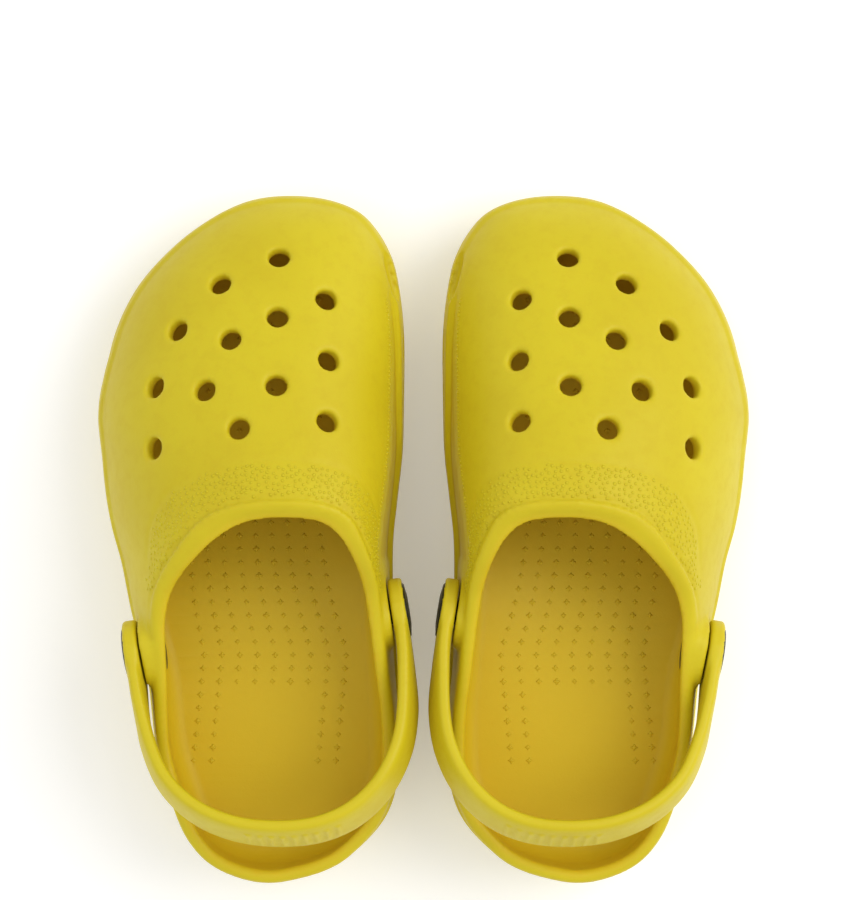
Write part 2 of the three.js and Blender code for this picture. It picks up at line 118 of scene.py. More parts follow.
def soft_min(a: np.ndarray, b: np.ndarray, radius: float) -> np.ndarray:
    """Returns the smaller of two distances, blended over a radius: a filleted union of two solids."""
    return -soft_max(-a, -b, radius)


def lofted(rings: np.ndarray, turned: bool) -> tuple[np.ndarray, np.ndarray]:
    """Joins rings of points into one closed skin.

    Args:
        rings: The points, by ring, by place round the ring and by coordinate.
        turned: Whether the quads between the rings are wound the other way round.

    Returns:
        The points and the quads between them, its two ends closed by fans of the same quads.
    """
    rows, ring = rings.shape[:2]
    points = rings.reshape(-1, 3)
    i, j = np.meshgrid(np.arange(rows - 1), np.arange(ring), indexing="ij")
    here, ahead, k = i * ring, (i + 1) * ring, (j + 1) % ring
    quads = np.stack([here + j, ahead + j, ahead + k, here + k], axis=-1).reshape(-1, 4)
    if turned:
        quads = quads[:, [0, 3, 2, 1]]
    ends = []
    for first, flip in ((0, True), ((rows - 1) * ring, False)):
        centre = len(points)
        points = np.vstack([points, points[first:first + ring].mean(axis=0)])
        for step in range(0, ring, 2):
            fan = [centre, *(first + (step + more) % ring for more in range(3))]
            ends.append(fan[::-1] if flip else fan)
    return points, np.vstack([quads, np.asarray(ends)])


def in_scene(name: str, data: bpy.types.ID) -> bpy.types.Object:
    """Puts a mesh, a light or a camera into the scene as an object."""
    thing = bpy.data.objects.new(name, data)
    bpy.context.scene.collection.objects.link(thing)
    return thing


class Table:
    """A smooth function of the distance along the clog, from a few chosen values."""

    def __init__(self, values: Points) -> None:
        """Reads values as pairs of a distance and a value, in rising order of distance."""
        self.chain = smooth_chain(values, closed=False)

    def __call__(self, at: np.ndarray) -> np.ndarray:
        """Returns the function's value at a distance."""
        return np.interp(at, self.chain[:, 0], self.chain[:, 1])


# ---- The clog's form ---------------------------------------------------------


class Foot(Enum):
    """Which foot a clog is for."""

    LEFT = "left"
    RIGHT = "right"

    @property
    def hand(self) -> float:
        """1 for the left clog, as it is sculpted, and -1 for its mirror image."""
        return 1.0 if self is Foot.LEFT else -1.0


PLAN = (
    (0, 0.07), (0.007, 0.175), (0.019, 0.26), (0.036, 0.325), (0.088, 0.432), (0.14, 0.472), (0.231, 0.484),
    (0.322, 0.47), (0.413, 0.457), (0.494, 0.457), (0.555, 0.471), (0.626, 0.488), (0.696, 0.492),
    (0.804, 0.492), (0.874, 0.474), (0.91, 0.454), (0.946, 0.412), (0.974, 0.355), (0.992, 0.267),
    (1, 0.14), (0.995, 0.012), (0.98, -0.078), (0.946, -0.202), (0.91, -0.294), (0.874, -0.365),
    (0.839, -0.413), (0.804, -0.447), (0.767, -0.471), (0.732, -0.491), (0.678, -0.508), (0.625, -0.496),
    (0.571, -0.484), (0.517, -0.463), (0.464, -0.43), (0.393, -0.396), (0.302, -0.342),
    (0.19, -0.309), (0.14, -0.277), (0.071, -0.218), (0.036, -0.158), (0.018, -0.1), (0.005, -0.02),
)
"""The sole's outline from above, heel first and up the big-toe side: (share of length, share of width)."""

SIDE = (
    (0, 0.5), (0.003, 0.32), (0.006, 0.19), (0.014, 0.07), (0.034, 0.012), (0.07, 0), (0.2, 0), (0.4, 0),
    (0.6, 0), (0.71, 0.002), (0.81, 0.026), (0.9, 0.072), (0.96, 0.13), (0.99, 0.195), (1, 0.27),
    (0.992, 0.35), (0.965, 0.44), (0.92, 0.53), (0.85, 0.625), (0.76, 0.725), (0.66, 0.82), (0.56, 0.9),
    (0.45, 0.965), (0.33, 0.995), (0.2, 1), (0.1, 0.97), (0.04, 0.86), (0.01, 0.68),
)
"""The closed form's outline from the side, heel first along the ground: (share of length, of height)."""

VENT_HOLES = (
    (0.906, 0.1), (0.867, -0.088),
    (0.844, 0.256), (0.818, 0.101), (0.8, -0.224), (0.786, -0.049),
    (0.756, 0.268), (0.72, 0.102), (0.718, -0.294), (0.713, -0.127),
    (0.669, 0.266), (0.659, -0.015), (0.63, -0.295),
)
"""The vent holes in bowed rows from the toes back: (share of length, share of width)."""


@dataclass
class ClogForm:
    """The outer form of one clog: plan, side view and cross-sections, in millimetres."""

    length: float = 200.0
    width: float = 90.0
    height: float = 78.0
    widest_height: float = 14.0
    sole_edge: float = 6.0
    heel_rim: float = 39.0
    footbed_heel: float = 20.0
    footbed_forefoot: float = 13.5

    def __post_init__(self) -> None:
        """Works out the curves that the sections are read from."""
        self.plan = smooth_chain([(self.at(a), w * self.width) for a, w in PLAN], closed=True)
        self.side = smooth_chain([(self.at(a), h * self.height) for a, h in SIDE], closed=True)
        self.medial, self.lateral = self.branches(self.plan)
        self.ground, self.crown = self.branches(self.side)
        self.medial_shoulder = self.table(
            (-0.1, 3.2), (0.12, 3), (0.28, 2.9), (0.4, 3), (0.52, 3.1), (0.66, 2.5), (0.8, 2.3), (1.1, 2.3))
        self.lateral_shoulder = self.table(
            (-0.1, 3.2), (0.12, 2.9), (0.28, 2.4), (0.42, 1.98), (0.52, 1.92), (0.7, 2),
            (0.85, 2.1), (1.1, 2.3))
        self.crown_run = self.table(
            (-0.1, 0.52), (0.15, 0.53), (0.35, 0.58), (0.5, 0.62), (0.6, 0.61), (0.8, 0.56), (1.1, 0.54))
        rim = self.heel_rim
        self.collar = self.table(
            (-0.1, rim + 2), (0, rim + 0.5), (0.06, rim), (0.13, rim + 0.4), (0.2, rim + 1.8),
            (0.25, rim + 4.2), (0.29, rim + 7), (0.34, rim + 10), (0.38, rim + 12), (0.42, rim + 14.9),
            (0.445, rim + 18.2), (0.472, rim + 22.3), (0.5, rim + 25.7), (0.53, rim + 28.6),
            (0.547, rim + 31.2), (0.565, rim + 35.6), (0.6, rim + 52), (0.64, rim + 76), (0.7, rim + 112))
        drop = self.footbed_forefoot - self.footbed_heel
        bed = (
            (-0.1, -0.5), (0.02, -0.1), (0.12, 0), (0.3, -0.06), (0.4, 0.05), (0.5, 0.45), (0.62, 0.88),
            (0.75, 1), (0.87, 0.85), (0.95, 0.3), (1.1, -0.8))
        self.footbed = self.table(*((a, self.footbed_heel + share * drop) for a, share in bed))

    def at(self, share: float) -> float:
        """Returns the place along the clog, from its middle, of a share of its length from the heel."""
        return (share - 0.5) * self.length

    def ramp(self, y: np.ndarray, low: float, high: float) -> np.ndarray:
        """Returns a soft ramp along the clog, from 0 at one share of its length to 1 at another."""
        return smoothstep(y, self.at(low), self.at(high))

    def table(self, *values: tuple[float, float]) -> Table:
        """Makes a table whose distances are given as shares of the length from the heel."""
        return Table([(self.at(a), value) for a, value in values])

    def branches(self, chain: np.ndarray) -> tuple[Callable, Callable]:
        """Reads a closed outline as two functions along the clog.

        Args:
            chain: The outline's samples, starting at the heel.

        Returns:
            The branch that leaves the heel first, and the one that comes back to it.
        """
        tip = int(np.argmax(chain[:, 0]))
        heel = int(np.argmin(chain[:, 0]))
        ring = np.roll(chain, -heel, axis=0)
        tip = (tip - heel) % len(chain)
        out = ring[:tip + 1]
        home = np.vstack([ring[tip:], ring[:1]])[::-1]
        read_out, read_home = (partial(np.interp, xp=side[:, 0], fp=side[:, 1]) for side in (out, home))
        return read_out, read_home

    def section(self, y: np.ndarray) -> dict[str, np.ndarray]:
        """Returns the sizes that describe the cross-sections at some places along the clog."""
        medial, lateral = self.medial(y), self.lateral(y)
        ground, crown = np.maximum(self.ground(y), 0.0), self.crown(y)
        highest = ground + 0.45 * (crown - ground)
        widest = np.clip(self.ground(y) * 0.6 + self.widest_height, ground, highest)
        peak = lateral + (medial - lateral) * self.crown_run(y)
        return {
            "medial": medial, "lateral": lateral, "ground": ground, "crown": crown, "widest": widest,
            "peak": peak, "medial_n": self.medial_shoulder(y), "lateral_n": self.lateral_shoulder(y)}

    def top(self, x: np.ndarray, y: np.ndarray) -> np.ndarray:
        """Returns the height of the closed form's upper surface over a point of the plan."""
        s = self.section(y)
        inner = x > s["peak"]
        n = np.where(inner, s["medial_n"], s["lateral_n"])
        half = np.where(inner, s["medial"] - s["peak"], s["peak"] - s["lateral"])
        across = np.clip(np.abs(x - s["peak"]) / np.maximum(half, 1e-6), 0.0, 1.0)
        return s["widest"] + (s["crown"] - s["widest"]) * (1.0 - across ** n) ** (1.0 / n)

    def wall(self, y: float, z: float, medial_side: bool) -> float:
        """Returns the x of the outer side wall at a height."""
        s = {key: float(value) for key, value in self.section(np.asarray(y)).items()}
        n = s["medial_n"] if medial_side else s["lateral_n"]
        up = max(0.0, (z - s["widest"]) / (s["crown"] - s["widest"]))
        across = (1.0 - up ** n) ** (1.0 / n)
        return s["peak"] + across * ((s["medial"] if medial_side else s["lateral"]) - s["peak"])

    def heading(self, y: float, z: float, medial_side: bool,
                step: float = 1.0) -> tuple[np.ndarray, np.ndarray]:
        """Returns the point of the side wall at a height, and the way that the wall runs there in plan."""
        x, ahead, behind = (self.wall(at, z, medial_side) for at in (y, y + step, y - step))
        slope = (ahead - behind) / (2 * step)
        return np.array([x, y, z]), np.array([slope, 1.0]) / math.hypot(slope, 1.0)

    def pivot(self, height: float = 39.0, medial: float = 0.393, lateral: float = 0.337,
              proud: float = 0.5) -> "Pivot":
        """Returns the line through both rivet seats.

        Args:
            height: How high the line lies.
            medial: Where its big-toe end is, as a share of the length from the heel.
            lateral: Where its little-toe end is.
            proud: How far the seats stand out of the walls.
        """
        ends = [np.array([self.wall(self.at(share), height, inner), self.at(share), height])
                for share, inner in ((lateral, False), (medial, True))]
        reach = float(np.linalg.norm(ends[1] - ends[0]))
        return Pivot((ends[0] + ends[1]) / 2, (ends[1] - ends[0]) / reach, reach / 2 + proud)

    def hull(self, stations: int = 240, around: int = 120,
             corner: int = 12) -> tuple[np.ndarray, np.ndarray]:
        """Builds the closed form as one skin.

        Args:
            stations: How many cross-sections it is lofted through.
            around: Points over the top of each section.
            corner: Points round each lower edge.

        Returns:
            Its points and its quads.
        """
        inset = 0.02
        share = (1.0 - np.cos(np.linspace(0.0, math.pi, stations))) / 2.0
        y = self.at(0) + inset + share * (self.length - 2 * inset)
        s = {key: value[:, None] for key, value in self.section(y).items()}
        angle = np.linspace(0.0, math.pi, around)[None, :]
        inner = np.cos(angle) > 0
        n = np.where(inner, s["medial_n"], s["lateral_n"])
        half = np.where(inner, s["medial"] - s["peak"], s["peak"] - s["lateral"])
        x_top = s["peak"] + half * np.sign(np.cos(angle)) * np.abs(np.cos(angle)) ** (2.0 / n)
        z_top = s["widest"] + (s["crown"] - s["widest"]) * np.abs(np.sin(angle)) ** (2.0 / n)
        turn = np.linspace(0.0, math.pi / 2, corner + 1)[None, 1:]
        edge = np.minimum(self.sole_edge, 0.25 * (s["medial"] - s["lateral"]))
        z_low = s["widest"] - (s["widest"] - s["ground"]) * np.sin(turn)
        x_lateral = s["lateral"] + edge * (1.0 - np.cos(turn))
        x_medial = s["medial"] - edge * (1.0 - np.cos(turn))
        x = np.hstack([x_top, x_lateral, x_medial[:, ::-1]])
        z = np.hstack([z_top, z_low, z_low[:, ::-1]])
        return lofted(np.stack([x, np.repeat(y[:, None], x.shape[1], axis=1), z], axis=-1), turned=False)


@dataclass
class Pivot:
    """The line that a heel strap turns about, in the left clog's own millimetres."""

    middle: np.ndarray
    direction: np.ndarray
    seat: float
    clear: float = 10.0

    def along(self, x: np.ndarray, y: np.ndarray, z: np.ndarray, side: float) -> np.ndarray:
        """Returns how far out points lie along the pivot line, from its middle, on one side."""
        dx, dy, dz = self.direction
        return side * ((x - self.middle[0]) * dx + (y - self.middle[1]) * dy + (z - self.middle[2]) * dz)

    def off(self, x: np.ndarray, y: np.ndarray, z: np.ndarray) -> np.ndarray:
        """Returns how far points lie from the pivot line."""
        t = self.along(x, y, z, 1.0)
        squared = (x - self.middle[0]) ** 2 + (y - self.middle[1]) ** 2 + (z - self.middle[2]) ** 2 - t * t
        return np.sqrt(np.maximum(squared, 0.0))

    def frame(self, side: float) -> np.ndarray:
        """Returns a matrix whose rows are outwards along the line, across it and up."""
        out = self.direction * side
        up = np.array([0.0, 0.0, 1.0])
        return np.array([out, np.cross(up, out), up])


# ---- Solids as distance fields -----------------------------------------------


@dataclass
class Skin:
    """A closed surface in millimetres, and the numbers that its points carry."""

    points: np.ndarray
    faces: list[list[int]]
    marks: dict[str, np.ndarray] = field(default_factory=dict)

    def thinned(self, triangles: int) -> "Skin":
        """Returns the surface with larger faces where it is flatter, down to a number of triangles."""
        mesh = bpy.data.meshes.new("thinning")
        mesh.from_pydata(self.points.tolist(), [], self.faces)
        piece = in_scene("thinning", mesh)
        modifier = piece.modifiers.new("thin", "DECIMATE")
        modifier.ratio = min(1.0, triangles / sum(len(face) - 2 for face in self.faces))
        bpy.context.view_layer.update()
        thin = bpy.data.meshes.new_from_object(piece.evaluated_get(bpy.context.evaluated_depsgraph_get()))
        points = np.empty(3 * len(thin.vertices))
        thin.vertices.foreach_get("co", points)
        faces = [list(face.vertices) for face in thin.polygons]
        bpy.data.objects.remove(piece)
        for used in (mesh, thin):
            bpy.data.meshes.remove(used)
        return Skin(points.reshape(-1, 3), faces)


class DistanceField:
    """A block of space that holds, at each grid point, the distance to a solid's skin (negative inside)."""

    def __init__(self, low: np.ndarray, high: np.ndarray, spacing: float, margin: int = 6) -> None:
        """Sets out the grid.

        Args:
            low: The lowest corner of the solid.
            high: Its highest corner.
            spacing: The distance between grid points.
            margin: Grid points left free on every side.
        """
        self.spacing = spacing
        self.margin = margin
        self.low = np.floor(low / spacing).astype(int) - margin
        self.count = np.ceil(high / spacing).astype(int) + margin - self.low
        axes = [(self.low[k] + np.arange(self.count[k])).astype(np.float32) * spacing for k in range(3)]
        self.x = axes[0][:, None, None]
        self.y = axes[1][None, :, None]
        self.z = axes[2][None, None, :]

    def measure(self, points: np.ndarray, quads: np.ndarray, reach: int = 11) -> np.ndarray:
        """Returns the distances to a closed skin, out to a reach in grid points."""
        transform = openvdb.createLinearTransform(voxelSize=self.spacing)
        grid = openvdb.FloatGrid.createLevelSetFromPolygons(
            points.astype(np.float32), quads=quads.astype(np.uint32), transform=transform, halfWidth=reach)
        values = np.zeros(tuple(self.count), dtype=np.float32)
        grid.copyToArray(values, ijk=tuple(int(v) for v in self.low))
        return values

    def skin(self, values: np.ndarray) -> "Skin":
        """Returns the zero surface of a field, its faces wound outwards."""
        grid = openvdb.FloatGrid(float(values.max()))
        grid.transform = openvdb.createLinearTransform(voxelSize=self.spacing)
        grid.copyFromArray(np.ascontiguousarray(values), ijk=tuple(int(v) for v in self.low))
        points, triangles, quads = grid.convertToPolygons(isovalue=0.0, adaptivity=0.0)
        return Skin(np.asarray(points, dtype=float), triangles.tolist() + quads.tolist())

    def sample(self, values: np.ndarray, points: np.ndarray) -> np.ndarray:
        """Reads a field at points, mixing the eight grid values round each."""
        spot = points / self.spacing - self.low
        base = np.clip(np.floor(spot).astype(int), 0, np.asarray(values.shape) - 2)
        part = spot - base
        total = np.zeros(len(points))
        for corner in np.ndindex(2, 2, 2):
            weight = np.prod(np.where(corner, part, 1.0 - part), axis=1)
            total += weight * values[tuple((base + corner).T)]
        return total

    def blur(self, values: np.ndarray, radius: int, passes: int = 2) -> np.ndarray:
        """Returns a field averaged over a cube round each grid point, more than once."""
        for _ in range(passes):
            for axis in range(3):
                pads = [(0, 0)] * 3
                pads[axis] = (radius + 1, radius)
                total = np.cumsum(np.pad(values, pads, mode="edge"), axis=axis, dtype=np.float64)
                size = values.shape[axis]
                ahead = np.take(total, range(2 * radius + 1, 2 * radius + 1 + size), axis=axis)
                behind = np.take(total, range(size), axis=axis)
                values = ((ahead - behind) / (2 * radius + 1)).astype(np.float32)
        return values

    def crease(self, values: np.ndarray, points: np.ndarray, radius: int = 2) -> np.ndarray:
        """Returns how convex (above zero) or hollow (below zero) a solid's skin is at points."""
        return self.sample(self.blur(values, radius), points) / self.spacing


@dataclass
class ShellSculpt:
    """Carves one clog's foam shell out of its closed form, in millimetres."""

    form: ClogForm
    pivot: Pivot
    spacing: float = 0.8
    most_triangles: int = 194000
    wall: float = 4.3
    rim_round: float = 2.0
    rim_bead: float = 0.3
    bed_fillet: float = 8.0
    lip_width: float = 1.4
    lip_height: float = 0.7
    band_height: float = 0.85
    band_share: float = 0.5
    hole_radius: float = 3.05
    edge_round: float = 1.1
    slot_size: tuple[float, float] = (10.0, 4.6)
    slot_pitch: float = 16.0
    slots: int = 4
    seat_radius: float = 10.1
    bore_radius: float = 4.3
    recess_radius: float = 7.5
    grain_width: float = 8.2
    panel_inset: float = 3.3
    panel_depth: float = 0.7
    # How much painted shade the sunk panel on the big-toe side gets, through the crease mark.
    panel_shade: float = 0.75
    cut_round: float = 0.8
    bore_round: float = 0.6
    seat_fillet: float = 1.6
    groove_depth: float = 0.75
    groove_width: float = 0.6
    groove_gap: float = 1.2
    grain_gap: float = 1.7
    edge_gap: float = 2.6
    edge_depth: float = 0.22
    welt_depth: float = 0.5
    welt_width: float = 0.8
    welt_height: float = 6.5
    arch_height: float = 3.2
    arch_length: float = 30.0
    leaf_at: float = 0.888
    leaf_height: float = 26.5
    leaf_lean: float = 0.2
    leaf_round: float = 0.4
    leaf_size: tuple[float, float, float] = (8.5, 1.5, 3.4)
    tread_pitch: float = 9.0
    tread_depth: float = 1.5
    tread_half_width: float = 1.2
    tread_top: float = 14.0
    tread_wave: float = 2.6
    tread_margin: float = 9.0

    def build(self) -> Skin:
        """Returns the finished shell, marked with its creases (plus painted shade on its panel) and where
        its grain goes.
        """
        points, quads = self.form.hull()
        self.space = DistanceField(points.min(axis=0), points.max(axis=0), self.spacing)
        skin = self.space.measure(points, quads)
        self.above = self.above_collar()
        solid = self.outside(skin)
        solid = soft_max(solid, -self.hollow(skin), self.cut_round)
        solid = self.bosses(solid)
        solid = soft_max(solid, self.above, self.rim_round)
        solid = self.seats(solid)
        solid = self.vents(solid)
        solid = self.side_slots(solid)
        solid = self.leaf(solid)
        solid = self.tread(np.maximum(solid, -self.space.z))
        shell = self.space.skin(solid).thinned(self.most_triangles)
        # Painted shade: the crease mark is lowered over the sunk panel, so the foam shader darkens it
        # there.
        sunk = self.panel_shade * self.panel(*shell.points.T)
        shell.marks["crease"] = self.space.crease(solid, shell.points) - sunk
        shell.marks["grain"] = self.grain(skin, shell.points)
        depth = -self.space.sample(skin, shell.points)
        # How deep in the cavity each point lies; the foam shader paints a warmer shade hue there.
        shell.marks["inside"] = smoothstep(depth, 0.35 * self.wall, 0.9 * self.wall)
        return shell

    def grain(self, skin: np.ndarray, points: np.ndarray) -> np.ndarray:
        """Returns where the upper is grained: 1 in a band in front of the lip, and 0 elsewhere."""
        y = points[:, 1]
        flat = np.concatenate([np.zeros((len(points), 1)), points[:, 1:]], axis=1)
        flat[:, 0] = (self.space.low[0] + 1) * self.space.spacing
        below = -self.space.sample(np.broadcast_to(self.above, tuple(self.space.count)), flat)
        low = self.lip_width + self.grain_gap
        high = low + self.grain_width * self.grain_share(y)
        inside = (below > low) & (below < high) & (y > self.form.at(0.43))
        outer = self.space.sample(skin, points) > -0.35 * self.wall
        return (inside & outer).astype(float)

    def leaf(self, solid: np.ndarray) -> np.ndarray:
        """Presses a shallow leaf-shaped facet into the big-toe side, near the toes."""
        place, heading = self.form.heading(self.form.at(self.leaf_at), self.leaf_height, True, 2.0)
        i, dx, dy, dz = self.near(place, 12.0)
        length, depth, height = self.leaf_size
        run = (dx * heading[0] + dy * heading[1]) / length
        out = (dx * heading[1] - dy * heading[0]) / depth
        leaf = np.sqrt(run * run + out * out + ((dz - self.leaf_lean * dy) / height) ** 2) - 1.0
        solid[i] = soft_max(solid[i], -(leaf * depth).astype(np.float32), self.leaf_round)
        return solid

    def above_collar(self) -> np.ndarray:
        """Returns the distance above the collar line, as seen from the side."""
        y, z = self.space.y, self.space.z
        run = np.linspace(self.form.at(-0.1), self.form.at(0.7), 640)
        line = np.stack([run, self.form.collar(run)], axis=-1)
        nearest = np.full(np.broadcast(y, z).shape, 1e6)
        for start, end in zip(line[:-1], line[1:]):
            span = end - start
            share = np.clip(((y - start[0]) * span[0] + (z - start[1]) * span[1]) / (span @ span), 0.0, 1.0)
            gap = (y - start[0] - share * span[0]) ** 2 + (z - start[1] - share * span[1]) ** 2
            nearest = np.minimum(nearest, gap)
        return (np.sqrt(nearest) * np.where(z > self.form.collar(y), 1.0, -1.0)).astype(np.float32)

    def outside(self, skin: np.ndarray) -> np.ndarray:
        """Adds the side band, the raised lip and their grooves to the closed form's distances."""
        z, y = self.space.z, self.space.y
        band = self.band_height * (self.band_share - smoothstep(z - self.band_top(y), -0.8, 0.4))
        spring = np.maximum(self.form.ground(np.maximum(y, 0.0)), 0.0)
        fade = 1.0 - self.form.ramp(y, 0.9, 0.97)
        welt = self.welt_depth * ridge(z - self.welt_height - spring, self.welt_width) * fade
        below = -self.above
        front = self.form.ramp(y, 0.36, 0.46)
        past = below - self.lip_width
        raised = 1.0 - smoothstep(below, self.lip_width - 0.5, self.lip_width + 0.6)
        lip = self.lip_height * raised * front
        groove = self.groove_depth * ridge(past - self.groove_gap, self.groove_width) * front
        far = self.lip_width + self.edge_gap + self.grain_width * self.grain_share(y)
        edge = self.edge_depth * ridge(below - far, self.groove_width) * self.form.ramp(y, 0.44, 0.5)
        panel = self.panel_depth * self.panel(self.space.x, y, z)
        return (skin - band + welt - lip + groove + edge + panel).astype(np.float32)

    def panel(self, x: np.ndarray, y: np.ndarray, z: np.ndarray) -> np.ndarray:
        """Returns 1 in the sunk panel on the big-toe side, under its row of beads, and 0 elsewhere."""
        past = x - self.form.medial(y) + self.panel_inset
        starts, ends = self.form.ramp(y, 0.45, 0.48), self.form.ramp(y, 0.84, 0.87)
        above = smoothstep(z - self.band_top(y), 0.5, 2.0)
        return smoothstep(past, 0.0, 0.9) * above * starts * (1.0 - ends)

    def grain_share(self, y: np.ndarray) -> np.ndarray:
        """Returns how wide the grained band is along the clog, as a share of its width over the instep."""
        return 0.4 + 0.6 * self.form.ramp(y, 0.44, 0.53)

    def band_top(self, y: np.ndarray) -> np.ndarray:
        """Returns the height of the side band's upper edge."""
        heel = smoothstep(-y, -self.form.at(0.2), -self.form.at(0.0))
        return 24.5 + 2.5 * self.form.ramp(y, 0.45, 0.8) + 1.5 * heel

    def hollow(self, skin: np.ndarray) -> np.ndarray:
        """Returns the distances to the foot's space, over the footbed and inside the walls."""
        x, y, z = self.space.x, self.space.y, self.space.z
        s = self.form.section(y)
        side = (x - s["lateral"]) / np.maximum(s["medial"] - s["lateral"], 1.0)
        across = self.arch_height * smoothstep(side, 0.55, 1.0)
        bed = self.form.footbed(y) + across * ridge(y - self.form.at(0.43), self.arch_length)
        bead = self.rim_bead * (1.0 - smoothstep(-self.above, 2.0, 5.5)) * self.form.ramp(y, 0.36, 0.46)
        return soft_max(skin + self.wall + bead, bed - z, self.bed_fillet).astype(np.float32)

    def bosses(self, solid: np.ndarray) -> np.ndarray:
        """Thickens the walls round the rivets into flat seats."""
        s, p = self.space, self.pivot
        off = p.off(s.x, s.y, s.z)
        for side in (-1.0, 1.0):
            t = p.along(s.x, s.y, s.z, side)
            boss = np.maximum(off - self.seat_radius, np.maximum(t - p.seat, p.seat - self.wall - t))
            solid = soft_min(solid, boss, self.seat_fillet)
        return solid

    def seats(self, solid: np.ndarray) -> np.ndarray:
        """Faces the rivets' seats flat, and cuts their bores and the recesses for their inner flanges."""
        s, p = self.space, self.pivot
        off = p.off(s.x, s.y, s.z)
        for side in (-1.0, 1.0):
            t = p.along(s.x, s.y, s.z, side)
            face = np.maximum(off - self.seat_radius, p.seat - t)
            bore = np.maximum(off - self.bore_radius, p.clear - t)
            recess = np.maximum(off - self.recess_radius, np.maximum(t - p.seat + self.wall, p.clear - t))
            for cut, edge in ((face, self.cut_round), (recess, self.cut_round), (bore, self.bore_round)):
                solid = soft_max(solid, -cut, edge)
        return solid

    def vents(self, solid: np.ndarray) -> np.ndarray:
        """Bores the round vent holes square to the upper."""
        for share, across in VENT_HOLES:
            x, y = across * self.form.width, self.form.at(share)
            place, normal = self.on_top(x, y)
            reach = 2.2 * self.wall
            i, dx, dy, dz = self.near(place, 3.2 * self.wall)
            t = dx * normal[0] + dy * normal[1] + dz * normal[2]
            off = np.sqrt(np.maximum(dx * dx + dy * dy + dz * dz - t * t, 0.0))
            hole = np.maximum(off - self.hole_radius, np.abs(t) - reach)
            solid[i] = soft_max(solid[i], -hole, self.edge_round)
        return solid

    def side_slots(self, solid: np.ndarray) -> np.ndarray:
        """Cuts the slots low in both side walls."""
        for place, heading in self.slot_places():
            i, dx, dy, dz = self.near(place, 3.4 * self.wall)
            run = np.abs(dx * heading[0] + dy * heading[1])
            depth = np.abs(dx * heading[1] - dy * heading[0])
            length, height = self.slot_size
            corner = height / 2 - 0.05
            along = np.maximum(run - length / 2 + corner, 0.0)
            up = np.maximum(np.abs(dz) - height / 2 + corner, 0.0)
            slot = np.maximum(np.sqrt(along * along + up * up) - corner, depth - 3.0 * self.wall)
            solid[i] = soft_max(solid[i], -slot, self.edge_round)
        return solid

    def slot_places(self) -> list[tuple[np.ndarray, np.ndarray]]:
        """Returns the middle of each side slot and the direction that it runs in."""
        height = self.form.footbed_forefoot + 2.2 + self.slot_size[1] / 2
        places = []
        for medial_side, foremost in ((True, 0.78), (False, 0.75)):
            for k in range(self.slots):
                y = self.form.at(foremost) - k * self.slot_pitch
                places.append(self.form.heading(y, height, medial_side))
        return places

    def tread(self, solid: np.ndarray) -> np.ndarray:
        """Cuts shallow wavy grooves into the sole."""
        low = int(math.ceil(self.tread_top / self.spacing)) + self.space.margin
        i = (slice(None), slice(None), slice(0, low))
        x, y, z = self.space.x, self.space.y, self.space.z[:, :, :low]
        s = self.form.section(y)
        wave = y + self.tread_wave * np.sin(x / 7.0)
        across = np.abs((wave / self.tread_pitch) % 1.0 - 0.5) * self.tread_pitch - self.tread_half_width
        inside = np.maximum(s["lateral"] + self.tread_margin - x, x - s["medial"] + self.tread_margin)
        inside = np.maximum(inside, np.abs(y + 1.0) - 0.425 * self.form.length)
        depth = z - np.maximum(self.form.ground(y), 0.0) - self.tread_depth
        groove = np.maximum(np.maximum(across, inside), depth)
        solid[i] = soft_max(solid[i], -groove.astype(np.float32), self.cut_round)
        return solid

    def on_top(self, x: float, y: float) -> tuple[np.ndarray, np.ndarray]:
        """Returns the point of the upper over a point of the plan, and the upper's normal there."""
        step = 0.5
        ahead, behind = self.form.top(np.array([x, x]), np.array([y + step, y - step]))
        right, left = self.form.top(np.array([x + step, x - step]), np.array([y, y]))
        normal = np.array([left - right, behind - ahead, 2 * step])
        place = np.array([x, y, float(self.form.top(np.array([x]), np.array([y]))[0])])
        return place, normal / np.linalg.norm(normal)

    def near(self, place: np.ndarray, reach: float) -> tuple:
        """Returns the part of the grid within a reach of a place, and its coordinates from there."""
        s = self.space
        low = np.maximum(np.floor((place - reach) / s.spacing).astype(int) - s.low, 0)
        high = np.minimum(np.ceil((place + reach) / s.spacing).astype(int) - s.low + 1, s.count)
        i = tuple(slice(int(a), int(b)) for a, b in zip(low, high))
        axes = s.x[i[0]], s.y[:, i[1]], s.z[:, :, i[2]]
        return i, *(axis - middle for axis, middle in zip(axes, place))


